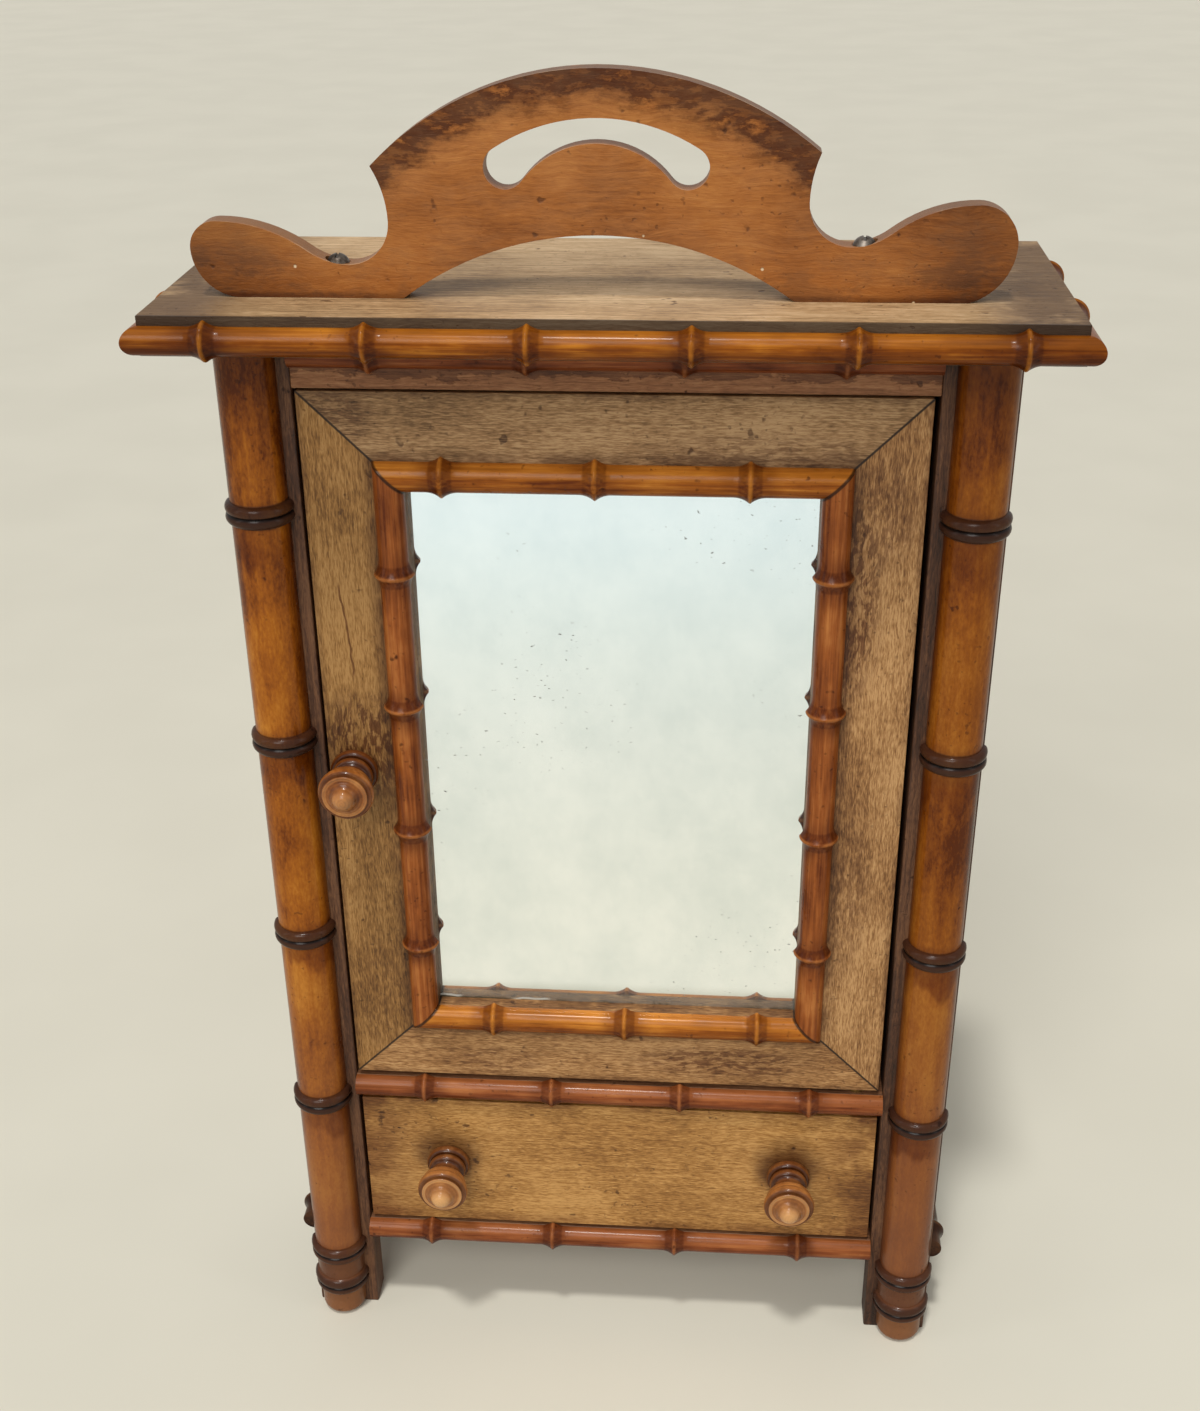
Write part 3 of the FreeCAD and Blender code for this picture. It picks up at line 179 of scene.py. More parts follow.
class Look:
    """A material in the making, with the piece's own coordinates in metres."""

    def __init__(self, name):
        self.material = bpy.data.materials.new(name)
        self.material.use_nodes = True
        tree = self.material.node_tree
        self.shader = tree.nodes["Principled BSDF"]
        self.start = Value(tree)
        self.place = self.start.node("TexCoord", output="Object")
        self.x, self.y, self.z = (
            self.start.node("SeparateXYZ", {}, {0: self.place}, axis) for axis in range(3))

    def stretched(self, scales, shift=(0, 0, 0), bend=None):
        """Coordinates times a scale on each axis, plus a shift, after a bend by a vector if any."""
        base = self.place
        if bend is not None:
            base = self.start.node("VectorMath", {"operation": "ADD"}, {0: base, 1: bend})
        return self.start.node("VectorMath", {"operation": "MULTIPLY_ADD"},
                               {0: base, 1: scales, 2: shift})

    def noise(self, scales, detail=2.0, rough=0.5, shift=(0, 0, 0), bend=None):
        """Smooth noise about 0.5, whose cells are 1 / scale metres long along each axis."""
        inputs = {"Vector": self.stretched(scales, shift, bend), "Scale": 1.0,
                  "Detail": detail, "Roughness": rough}
        return self.start.node("TexNoise", {}, inputs)

    def sway(self, scales, reach):
        """Vector that bends the grain: noise of three values about 0, times a reach in metres."""
        inputs = {"Vector": self.stretched(scales), "Scale": 1.0, "Detail": 1.0}
        colour = self.start.node("TexNoise", {}, inputs, 1)
        return self.start.node("VectorMath", {"operation": "MULTIPLY_ADD"},
                               {0: colour, 1: reach, 2: tuple(-part / 2 for part in reach)})

    def dots(self, scales, radius, shift):
        """Round spots at the points of a Voronoi pattern, of a radius in parts of a cell."""
        inputs = {"Vector": self.stretched(scales, shift), "Scale": 1.0}
        return self.start.node("TexVoronoi", {"feature": "F1"}, inputs).fall(radius * 0.5, radius)

    def mix(self, share, first, second):
        """Colour between two, by a share of the second."""
        return self.start.node("Mix", {"data_type": "RGBA", "clamp_factor": True},
                               {MIX_SHARE: share, MIX_FIRST: first, MIX_SECOND: second},
                               MIX_RESULT)

    def shade(self, share, first, stain):
        """Colour times a stain's tint, by a share."""
        settings = {"data_type": "RGBA", "blend_type": "MULTIPLY", "clamp_factor": True}
        return self.start.node("Mix", settings,
                               {MIX_SHARE: share, MIX_FIRST: first, MIX_SECOND: stain},
                               MIX_RESULT)

    def ramp(self, value, *stops):
        """Colour read off a ramp of stops."""
        return self.start.node("ValToRGB", {"stops": stops}, {0: value})

    def bump(self, height, depth, strength=1.0):
        """Normal from a height of 0 to 1 that stands for a depth in metres."""
        inputs = {"Strength": strength, "Distance": depth, "Height": height}
        return self.start.node("Bump", {}, inputs)

    def finish(self, **inputs):
        """Sets or links the shader's inputs, named with underscores, and gives the material."""
        for name, given in inputs.items():
            socket = self.shader.inputs[name.replace("_", " ").title().replace("Ior", "IOR")]
            if isinstance(given, Value):
                self.start.tree.links.new(given.socket, socket)
            else:
                socket.default_value = given
        return self.material


def along(axis, lengthwise, crosswise):
    """Scales for a grain that runs along one axis."""
    scales = [crosswise] * 3
    scales["xyz".index(axis)] = lengthwise
    return tuple(scales)


def dirt(look, seed):
    """Ragged dark specks, thicker in some places than in others."""
    patch = look.noise((20, 20, 20), 2.0, 0.5, (seed, 3.1, seed)).rise(0.42, 0.62)
    fine = look.noise((420, 420, 420), 1.0, 0.5, (seed, seed, 1.3)).rise(0.66, 0.76)
    coarse = look.noise((150, 150, 150), 2.0, 0.6, (seed, 0.4, seed)).rise(0.69, 0.77)
    return 0.6 * fine * patch + 0.9 * coarse


def from_line(look, spot):
    """Distance from the line along Y through a spot."""
    aside, above = look.x - spot.x, look.z - spot.z
    return (aside * aside + above * above).math("SQRT")


def door_side(look):
    """Distance in from the door's left or right edge."""
    return DOOR_HALF_WIDTH - abs(look.x - DOOR_X)


def door_end(look):
    """Distance in from the door's upper or lower edge."""
    return DOOR_HALF_HEIGHT - abs(look.z - DOOR_Z)


def cane_look(name, axis, first, pitch, tones, seed, mitred=False):
    """Stained and varnished imitation bamboo: streaks along it, a painted highlight along the upper
    half of a level cane and painted shade, mixed with stain, below it, or painted shade at the
    sides of an upright one; darker out at the case's corners, stained by its nodes, with stain and
    painted shade in the grooves beside their crests, and the crests worn pale, partly a painted
    highlight."""
    look = Look(name)
    lengthwise = {"x": look.x, "y": look.y, "z": look.z}[axis]
    from_node = (lengthwise - first).math("PINGPONG", pitch / 2)
    streak = look.noise(along(axis, 26, 700), 3.0, 0.6, (seed, seed, 0))
    pool = look.noise(along(axis, 30, 70), 4.0, 0.6, (seed * 2, 0, seed))
    depth = 0.6 * streak + 0.7 * pool - 0.15
    dark, body, pale = tones
    colour = look.ramp(depth, (0.3, dark), (0.5, body), (0.7, pale))
    # Painted shade at the sides of an upright cane; on a level cane, a painted highlight along its
    # upper half and painted shade, mixed with stain, below it.
    if axis == "z":
        under = abs(look.x - middle(name).x).rise(2 * MM, 6 * MM) * 0.5
    else:
        over = look.z - middle(name).z + 3 * MM * (streak - 0.5)
        colour = look.mix(over.rise(0.5 * MM, 3 * MM) * 0.35, colour, pale)
        under = over.fall(-4.5 * MM, 1 * MM) * (0.35 + 0.5 * pool.rise(0.40, 0.58))
    colour = look.shade(under, colour, tint(0.46, 0.34, 0.28))
    corner = abs(look.x).rise(100 * MM, 160 * MM)
    colour = look.shade(corner * 0.75, colour, tint(0.46, 0.36, 0.26))
    halo = from_node.fall(4 * MM, 15 * MM) * pool.rise(0.36, 0.58)
    colour = look.shade(halo * 0.8, colour, tint(0.42, 0.31, 0.26))
    # Grooves beside each node's crest: dark stain and painted shade.
    shoulder = from_node.band(1.6 * MM, 4.2 * MM, 1.2 * MM)
    colour = look.shade(shoulder * 0.55, colour, tint(0.34, 0.22, 0.18))
    # Each node's crest made paler: wear, and partly a painted highlight.
    crest = from_node.fall(0.4 * MM, 1.2 * MM)
    worn = crest * look.noise((160, 160, 160), 2.0, 0.5, (seed, 0, 0)).rise(0.3, 0.6)
    colour = look.mix(worn * 0.45, colour, pale)
    marks = dirt(look, seed)
    colour = look.shade(marks * 0.85, colour, tint(0.20, 0.15, 0.12))
    if mitred:
        seam = abs(door_side(look) - door_end(look)).fall(0.5 * MM, 1.5 * MM)
        colour = look.mix(seam * 0.85, colour, tone(28, 18, 12))
    rough = 0.20 + 0.2 * pool + 0.25 * marks
    height = streak * 0.6 + pool * 0.4 - marks * 0.5
    return look.finish(base_color=colour, roughness=rough, normal=look.bump(height, 0.3 * MM),
                       specular_ior_level=0.06, coat_weight=0.13, coat_roughness=0.15)


def post_look(name, seed, depth_of_stain):
    """Turned and stained post: amber spans, duller lower down, painted shade at its sides towards
    the leg and a painted shadow of the cornice over its top, runs of stain under each ring,
    blackened rings and a brown foot."""
    look = Look(name)
    grain_bend = look.sway((30, 30, 12), (4 * MM, 4 * MM, 0))
    streak = look.noise((300, 300, 22), 3.0, 0.6, (seed, seed, 0), grain_bend)
    pores = look.noise((900, 900, 380), 2.0, 0.6, (0, seed, seed))
    pool_bend = look.sway((20, 20, 20), (20 * MM, 20 * MM, 20 * MM))
    pool = look.noise((26, 26, 13), 4.0, 0.6, (seed * 2, 0, seed), pool_bend)
    depth = 0.25 * streak + 0.22 * pores + 0.8 * pool - 0.135
    colour = look.ramp(depth, (0.38, tone(96, 44, 6)), (0.47, tone(136, 73, 15)),
                       (0.55, tone(158, 91, 21)), (0.68, tone(186, 120, 40)))
    colour = look.shade(depth_of_stain, colour, tint(0.5, 0.42, 0.4))
    colour = look.mix(look.z.fall(30 * MM, 280 * MM) * 0.65, colour, tone(130, 83, 56))
    # Painted shadow of the cornice: the post darker over its top, from 470 to 520 mm up.
    colour = look.shade(look.z.rise(470 * MM, 520 * MM) * 0.7, colour, tint(0.50, 0.42, 0.36))
    run = look.noise((75, 75, 4), 2.0, 0.6, (seed, 0, 0))
    cloud = look.noise((40, 40, 20), 3.0, 0.6, (0, 0, seed)).rise(0.40, 0.58)
    rings, beads, halo = 0, 0, 0
    for height in RINGS + [FOOT_RING]:
        over = look.z - height
        rings = rings + abs(over).fall(0.35 * MM, 0.9 * MM)
        black = 1.0 if height > RINGS[0] else 0.88
        beads = beads + black * over.band(-4.9 * MM, 0, 0.3 * MM)
        beads = beads + 0.9 * black * over.band(0, 4.6 * MM, 1.2 * MM)
        halo = halo + (over + 42 * MM * run).rise(0, 5 * MM) * over.fall(-4 * MM, -3 * MM)
        halo = halo + 0.7 * over.band(4 * MM, 5 * MM, 5 * MM)
    colour = look.shade(halo * (0.4 + 0.4 * cloud), colour, tint(0.50, 0.36, 0.28))
    # Painted shade: the post darker at its sides, towards the leg.
    painted_side_shade = ((look.y - FACE_Y) / POST_RADIUS).rise(-0.72, -0.05)
    colour = look.shade(painted_side_shade * 0.8, colour, tint(0.34, 0.25, 0.20))
    foot = look.z.band(20 * MM, 38 * MM, 2 * MM) * 0.75
    colour = look.mix(foot, colour, tone(98, 63, 43))
    colour = look.mix(look.z.fall(16 * MM, 17 * MM) * 0.55, colour, tone(136, 94, 62))
    colour = look.mix(beads * 0.95, colour, tone(48, 29, 22))
    colour = look.mix(rings * 0.92, colour, tone(16, 10, 8))
    marks = dirt(look, seed)
    colour = look.shade(marks * 0.85, colour, tint(0.22, 0.16, 0.13))
    rough = 0.18 + 0.22 * pool + 0.2 * marks
    height = pores * 0.3 + streak * 0.3 + pool * 0.5 - marks * 0.5
    return look.finish(base_color=colour, roughness=rough, normal=look.bump(height, 0.2 * MM),
                       specular_ior_level=0.06, coat_weight=0.16, coat_roughness=0.13)


def plank_colour(look, axis, tones, wave, seed, flecked=0.65, streaky=0.3):
    """Colour, roughness and height of a plank: short ray flecks and longer fibres, both bent by
    a wave in metres, soft blotches and specks of dirt."""
    shift = (seed, seed * 1.7, seed * 0.6)
    bend = look.sway(along(axis, 45, 70), along(axis, 0.0, wave))
    fleck = look.noise(along(axis, 260, 1900), 2.0, 0.6, shift, bend)
    fibre = look.noise(along(axis, 22, 800), 3.0, 0.6, shift, bend)
    blotch = look.noise(along(axis, 12, 20), 4.0, 0.6, shift)
    dark, body, pale = tones
    depth = flecked * (fleck - 0.5) + streaky * (fibre - 0.5) + 0.55 * (blotch - 0.5) + 0.5
    colour = look.ramp(depth, (0.36, dark), (0.5, body), (0.64, pale))
    marks = dirt(look, seed)
    colour = look.shade(marks * 0.85, colour, tint(0.22, 0.16, 0.13))
    rough = 0.42 + 0.2 * blotch + 0.1 * fleck
    height = fleck * 0.6 + fibre * 0.4 - marks
    return colour, rough, height


def door_look(name, axis, tones, wave, seed, stains=(), crack=False):
    """Door member: grain along it, dark mitre lines, grime at its edges and beside the cane, its
    own stains broken into ticks and, in one of them, a leaning crack."""
    look = Look(name)
    colour, rough, height = plank_colour(look, axis, tones, wave, seed)
    side, end = door_side(look), door_end(look)
    edge = side.math("MINIMUM", end)
    uneven = look.noise((60, 60, 60), 3.0, 0.6, (seed, seed, seed))
    grime = edge.fall(0.4 * MM, 3.5 * MM) * uneven.rise(0.30, 0.6)
    near_cane = edge.rise(FRAME_MARGIN - 7 * MM, FRAME_MARGIN - 0.3 * MM)
    by_cane = near_cane * uneven.rise(0.25, 0.55)
    colour = look.shade(grime * 0.6 + by_cane * 0.8, colour, tint(0.34, 0.26, 0.2))
    tick_bend = look.sway((40, 40, 40), (8 * MM, 0, 8 * MM))
    tick = look.noise(along(axis, 170, 560), 3.0, 0.6, (seed, 4.0, seed), tick_bend)
    for x, z, wide, high, share in stains:
        aside, above = (look.x - x) / wide, (look.z - z) / high
        spread = (aside * aside + above * above).fall(0.15, 1.0)
        ticked = spread * (0.25 + 0.75 * tick.rise(0.44, 0.56))
        colour = look.shade(ticked * share, colour, tint(0.34, 0.24, 0.19))
    if crack:
        wander = look.noise((4, 4, 60), 2.0, 0.5, (2.3, 0, 0.7)) * (5 * MM)
        line = abs(look.x + CRACK_ASIDE - CRACK_LEAN * (CRACK_PIVOT - look.z) - wander)
        split = line.fall(0.15 * MM, 0.55 * MM) * look.z.band(CRACK_FOOT, CRACK_HEAD, 5 * MM)
        colour = look.shade(split * 0.85, colour, tint(0.34, 0.20, 0.13))
        height = height - split
    mitre = abs(side - end).fall(0.35 * MM, 1.0 * MM)
    colour = look.mix(mitre * 0.9, colour, tone(26, 17, 12))
    return look.finish(base_color=colour, roughness=rough, normal=look.bump(height, 0.3 * MM),
                       specular_ior_level=0.3)


def drawer_look():
    """Drawer front: yellow-brown with a wavy figure, stained round and above both knobs, and darker
    at its ends and along its upper and lower edges."""
    look = Look("drawer_front_wood")
    tones = (tone(122, 80, 34), tone(164, 117, 60), tone(196, 149, 88))
    colour, rough, height = plank_colour(look, "x", tones, 3 * MM, 4.0)
    low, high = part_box("drawer_front")
    uneven = look.noise((50, 50, 50), 3.0, 0.6, (7, 0, 2))
    for knob, share in (("drawer_knob_left", 0.85), ("drawer_knob_right", 1.0)):
        spot = middle(knob)
        stain = from_line(look, spot) + 12 * MM * uneven - 0.3 * (look.z - spot.z)
        colour = look.shade(stain.fall(15 * MM, 26 * MM) * share, colour, tint(0.28, 0.21, 0.16))
    ends = (high.x - abs(look.x)).fall(2 * MM, 34 * MM) * uneven.rise(0.3, 0.55)
    foot = (look.z - low.z).fall(1 * MM, 8 * MM) * uneven.rise(0.3, 0.6)
    head = (high.z - look.z).fall(0.6 * MM, 5 * MM) * uneven.rise(0.35, 0.6)
    colour = look.shade(ends * 0.85 + foot * 0.7 + head * 0.6, colour, tint(0.42, 0.31, 0.24))
    return look.finish(base_color=colour, roughness=rough, normal=look.bump(height, 0.3 * MM),
                       specular_ior_level=0.3)


def crest_look():
    """Crest board: brown, sooty under its crown's arc, darker at its ends and foot, with a painted
    highlight along its rounded front edge, duller on its thickness, with a few pale chips."""
    look = Look("crest_wood")
    tones = (tone(114, 62, 22), tone(158, 96, 43), tone(184, 121, 60))
    colour, rough, height = plank_colour(look, "x", tones, 6 * MM, 9.0, 0.16, 0.22)
    across = look.x - (CREST_LOW.x + CREST_HIGH.x) / 2
    drop = look.z - (CREST_HIGH.z - CREST_CROWN_RADIUS)
    from_crown = CREST_CROWN_RADIUS - (across * across + drop * drop).math("SQRT")
    smoke = look.noise((50, 50, 110), 6.0, 0.72, (3, 0, 5))
    burn = (from_crown + 30 * MM * (smoke - 0.5)).fall(4 * MM, 17 * MM) * smoke.rise(0.30, 0.46)
    soot_bend = look.sway((45, 70, 70), (0, 0, 6 * MM))
    soot = look.noise((170, 170, 480), 3.0, 0.65, (1, 0, 6), soot_bend)
    burn = burn * look.z.rise(568 * MM, 582 * MM) * (0.6 + 0.4 * soot.rise(0.38, 0.58))
    ends = (abs(across) - 92 * MM).rise(0, 50 * MM) * (0.42 + 0.15 * smoke.rise(0.36, 0.60))
    shoulders = (look.z - CREST_LOW.z).fall(4 * MM, 30 * MM) * smoke.rise(0.46, 0.62)
    foot = (look.z - CREST_LOW.z).fall(0.5 * MM, 3.5 * MM)
    dark = 1.3 * burn + ends + shoulders * 0.35 + foot * 0.6
    colour = look.shade(dark, colour, tint(0.24, 0.18, 0.14))
    # Painted highlight: a pale band on the rounded front edge, broken up by the smoke noise.
    back = look.y - CREST_LOW.y
    worn = back.band(0.25 * MM, 0.9 * MM, 0.3 * MM) * smoke.rise(0.4, 0.6)
    colour = look.mix(worn * 0.6, colour, tone(206, 168, 126))
    colour = look.mix(back.rise(1.0 * MM, 2.0 * MM) * 0.6, colour, tone(126, 90, 56))
    chips = look.dots((60, 60, 60), 0.05, (5, 2, 8))
    colour = look.mix(chips * 0.9, colour, tone(226, 205, 170))
    return look.finish(base_color=colour, roughness=rough - 0.12,
                       normal=look.bump(height - chips, 0.25 * MM),
                       specular_ior_level=0.15, coat_weight=0.08, coat_roughness=0.2)


def top_look():
    """Top board: greyed brown, darker at its ends, with a dark strip along its front edge, partly
    dark stain and partly painted shade.
    """
    look = Look("top_wood")
    tones = (tone(136, 108, 76), tone(186, 153, 112), tone(218, 188, 148))
    colour, rough, height = plank_colour(look, "x", tones, 4 * MM, 13.0, 0.35, 0.5)
    uneven = look.noise((40, 40, 40), 3.0, 0.6, (2, 5, 0))
    # Dark strip along the front edge: dark stain and painted shade.
    front = (look.y - TOP_LOW.y).fall(0.3 * MM, 2.0 * MM) * uneven.rise(0.10, 0.28)
    ends = (TOP_HIGH.x - abs(look.x)).fall(14 * MM, 52 * MM) * uneven.rise(0.2, 0.48)
    colour = look.shade(ends, colour, tint(0.29, 0.25, 0.22))
    colour = look.mix(front * 0.9, colour, tone(48, 32, 21))
    return look.finish(base_color=colour, roughness=rough - 0.06,
                       normal=look.bump(height, 0.3 * MM), specular_ior_level=0.2)


def plain_look(name, axis, tones, seed, wave=2 * MM):
    """Plain board of the case, the inside or the back."""
    look = Look(name)
    colour, rough, height = plank_colour(look, axis, tones, wave, seed, 0.35, 0.4)
    return look.finish(base_color=colour, roughness=rough, normal=look.bump(height, 0.3 * MM),
                       specular_ior_level=0.3)


def beads_look():
    """Glazing beads: bare wood with its grain along each bead, so upright at the two sides."""
    look = Look("bead_wood")
    level, rough, height = plank_colour(look, "x", BARE, 3 * MM, 8.0, 0.35, 0.4)
    upright = plank_colour(look, "z", BARE, 3 * MM, 12.0, 0.35, 0.4)[0]
    at_sides = (door_side(look) - door_end(look)).fall(-0.2 * MM, 0.2 * MM)
    colour = look.mix(at_sides, level, upright)
    return look.finish(base_color=colour, roughness=rough, normal=look.bump(height, 0.1 * MM),
                       specular_ior_level=0.3)


def frieze_look():
    """Frieze rail: red-brown, darker along its upper half, with a ragged edge."""
    look = Look("frieze_wood")
    tones = (tone(100, 60, 34), tone(142, 94, 60), tone(172, 124, 86))
    colour, rough, height = plank_colour(look, "x", tones, 2 * MM, 15.0, 0.3, 0.45)
    ragged = look.noise((60, 60, 160), 4.0, 0.65, (6, 0, 1))
    above = look.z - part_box("frieze_rail")[0].z
    dark_upper_band = (above + 22 * MM * (ragged - 0.5)).rise(5.5 * MM, 6.5 * MM)
    colour = look.shade(dark_upper_band * 0.7, colour, tint(0.40, 0.31, 0.27))
    return look.finish(base_color=colour, roughness=rough,
                       normal=look.bump(height + 0.6 * dark_upper_band, 0.3 * MM), specular_ior_level=0.3)


def knob_look(name, node, seed, wear):
    """Turned knob: rings of tone about its axis, dark in its grooves, dish and neck, worn pale on
    its rim and button."""
    look = Look(name)
    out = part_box(node)[1].y - look.y
    radius = from_line(look, middle(node))
    cloud = look.noise((130, 130, 130), 3.0, 0.6, (seed, 0, 0))
    turning = (radius * 6200 + out * 3100).math("SINE")
    depth = 0.48 + 0.04 * turning + 0.9 * (cloud - 0.5)
    colour = look.ramp(depth, (0.25, tone(92, 44, 12)), (0.5, tone(148, 86, 34)),
                       (0.75, tone(190, 128, 66)))
    colour = look.mix(wear * 0.3, colour, tone(206, 150, 92))
    dish = radius.band(5.6 * MM, 7.4 * MM, 1.2 * MM) * out.rise(23.4 * MM, 24.4 * MM)
    grooves = dish * 0.4
    for height in KNOB_GROOVES:
        grooves = grooves + abs(out - height).fall(0.25 * MM, 1.3 * MM)
    colour = look.shade(grooves * 0.8, colour, tint(0.24, 0.16, 0.12))
    neck = out.band(-1 * MM, 14 * MM, 2 * MM) * cloud.rise(0.25, 0.55)
    colour = look.shade(neck * 0.85, colour, tint(0.28, 0.19, 0.15))
    worn = 0.7 * radius.band(8.7 * MM, 9.6 * MM, 0.6 * MM) + radius.fall(2.5 * MM, 6.2 * MM)
    worn = worn * out.rise(24.0 * MM, 24.6 * MM)
    colour = look.mix(worn * (0.22 + 0.65 * wear), colour, tone(222, 172, 114))
    rough = 0.22 + 0.2 * cloud
    return look.finish(base_color=colour, roughness=rough,
                       normal=look.bump(turning * 0.25 + cloud, 0.15 * MM),
                       specular_ior_level=0.2, coat_weight=0.18, coat_roughness=0.1)


def mirror_look():
    """Silvered glass, aged: faintly mottled, with a painted reflection cooler towards its top,
    clusters of specks, and flaked and lost silvering along its lower edge, where a painted
    olive-grey reflection of the lower cane dulls it."""
    look = Look("looking_glass")
    low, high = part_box("mirror_glass")
    patch = look.noise((16, 16, 16), 2.0, 0.5, (1, 0, 3)).rise(0.46, 0.60)
    specks = look.noise((360, 360, 700), 1.0, 0.5, (0, 0, 2)).rise(0.69, 0.77) * patch
    uneven = look.noise((70, 70, 70), 4.0, 0.65, (4, 0, 4))
    above = look.z - (low.z + GLASS_SIGHT_FOOT)
    aside = look.x - (low.x + GLASS_SIGHT_SIDE)
    rot = above.fall(0.5 * MM, 2.5 * MM) * uneven.rise(0.46, 0.58)
    rot = rot + 0.5 * aside.fall(0.3 * MM, 2 * MM) * uneven.rise(0.56, 0.64)
    torn = above - 4 * MM * look.noise((70, 70, 0), 2.0, 0.5, (1, 0, 0)) + 1.2 * MM
    tear = torn.band(0, 0.9 * MM, 0.2 * MM)
    flakes = tear * (aside.fall(8 * MM, 12 * MM) + aside.band(38 * MM, 50 * MM, 4 * MM))
    rot = rot + torn.band(-1 * MM, 0, 0.2 * MM) * aside.fall(48 * MM, 56 * MM)
    mottle = look.noise((18, 18, 15), 8.0, 0.72, (8, 0, 2))
    # Painted reflection: the silver bluer towards the top.
    painted_cool_reflection = look.z.rise((low.z + high.z) / 2, high.z)
    dull = look.mix(painted_cool_reflection, tone(225, 231, 230), tone(226, 239, 243))
    bright = look.mix(painted_cool_reflection, tone(247, 249, 247), tone(244, 253, 255))
    silver = look.mix(mottle.rise(0.24, 0.76), dull, bright)
    colour = look.mix(specks * 0.65 + rot * 0.8, silver, tone(84, 78, 70))
    colour = look.mix(flakes, colour, tone(240, 244, 244))
    # Painted reflection of the lower cane: an olive-grey band along the lower edge, a little less
    # metallic.
    painted_cane_reflection = above.fall(3 * MM, 13 * MM)
    colour = look.mix(painted_cane_reflection * 0.5, colour, tone(150, 150, 124))
    rough = 0.015 + 0.03 * mottle + 0.35 * specks + 0.25 * rot + 0.4 * flakes
    wave = look.noise((8, 8, 8), 1.0)
    return look.finish(base_color=colour, metallic=0.95 - 0.7 * flakes - 0.14 * painted_cane_reflection,
                       roughness=rough, normal=look.bump(wave, 0.2 * MM, 0.25))


def metal_look(name, pale, dark, seed):
    """Dull metal with tarnish in patches and fine scratches."""
    look = Look(name)
    tarnish = look.noise((220, 220, 220), 3.0, 0.6, (seed, 0, 0))
    scratch = look.noise((60, 1500, 1500), 2.0, 0.5, (0, seed, 0))
    colour = look.mix(tarnish.rise(0.35, 0.65), pale, dark)
    return look.finish(base_color=colour, metallic=0.9, roughness=0.32 + 0.3 * tarnish,
                       normal=look.bump(scratch * 0.5 + tarnish, 0.1 * MM))


def floor_look():
    """Pale floor, faintly mottled, a little paler and cooler further in front."""
    look = Look("pale_floor")
    mottle = look.noise((5, 5, 5), 3.0, 0.5)
    colour = look.mix(mottle.rise(0.3, 0.7), tone(217, 214, 199), tone(221, 218, 203))
    colour = look.mix(look.y.fall(-0.34, -0.12), colour, tone(229, 228, 213))
    colour = look.mix(look.y.fall(-0.72, -0.34), colour, tone(221, 225, 216))
    colour = look.mix(look.y.fall(-1.3, -0.62), colour, tone(227, 233, 231))
    return look.finish(base_color=colour, roughness=0.6)


def softened(node, width):
    """Copy of a CAD board with worn edges: merged, flat faces joined, bevelled by a width."""
    mesh = NODES[node].data.copy()
    mesh.materials.clear()
    merged = bmesh.new()
    merged.from_mesh(mesh)
    bmesh.ops.remove_doubles(merged, verts=merged.verts, dist=MERGE_DISTANCE)
    bmesh.ops.dissolve_limit(merged, angle_limit=FLAT_ANGLE, verts=merged.verts,
                             edges=merged.edges)
    merged.to_mesh(mesh)
    merged.free()
    if "custom_normal" in mesh.attributes:
        mesh.attributes.remove(mesh.attributes["custom_normal"])
    mesh.shade_smooth()
    mesh.set_sharp_from_angle(angle=SMOOTH_ANGLE)
    board = bpy.data.objects.new(node + "_worn", mesh)
    bpy.context.scene.collection.objects.link(board)
    bevel = board.modifiers.new("worn_edges", "BEVEL")
    bevel.width = width
    bevel.segments = BEVEL_SEGMENTS
    bevel.limit_method = "ANGLE"
    bevel.angle_limit = BEVEL_ANGLE
    bevel.harden_normals = True
    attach(board, BODY_OF[node])
    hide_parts(node)
    return board


def dress(piece, material):
    """Gives a piece one material."""
    piece.data.materials.clear()
    piece.data.materials.append(material)


# Stains and woods: the dark, the middle and the pale tone of each
HONEY = (tone(82, 34, 2), tone(134, 70, 10), tone(184, 114, 32))
AMBER = (tone(96, 42, 8), tone(152, 84, 22), tone(198, 128, 48))
TAWNY = (tone(90, 40, 14), tone(142, 77, 32), tone(180, 114, 58))
RUSSET = (tone(80, 34, 14), tone(130, 68, 34), tone(170, 106, 60))
SMOKED = (tone(40, 26, 18), tone(78, 50, 32), tone(110, 74, 48))
CASE = (tone(40, 24, 15), tone(76, 47, 30), tone(112, 76, 50))
SHELF = (tone(70, 44, 28), tone(112, 74, 48), tone(140, 100, 68))
BARE = (tone(132, 102, 68), tone(172, 138, 96), tone(198, 166, 122))
BEECH = (tone(102, 74, 44), tone(144, 109, 72), tone(174, 140, 100))
BEECH_WARM = (tone(98, 64, 26), tone(140, 99, 50), tone(168, 126, 74))
BEECH_PALE = (tone(108, 70, 36), tone(154, 111, 66), tone(190, 147, 98))

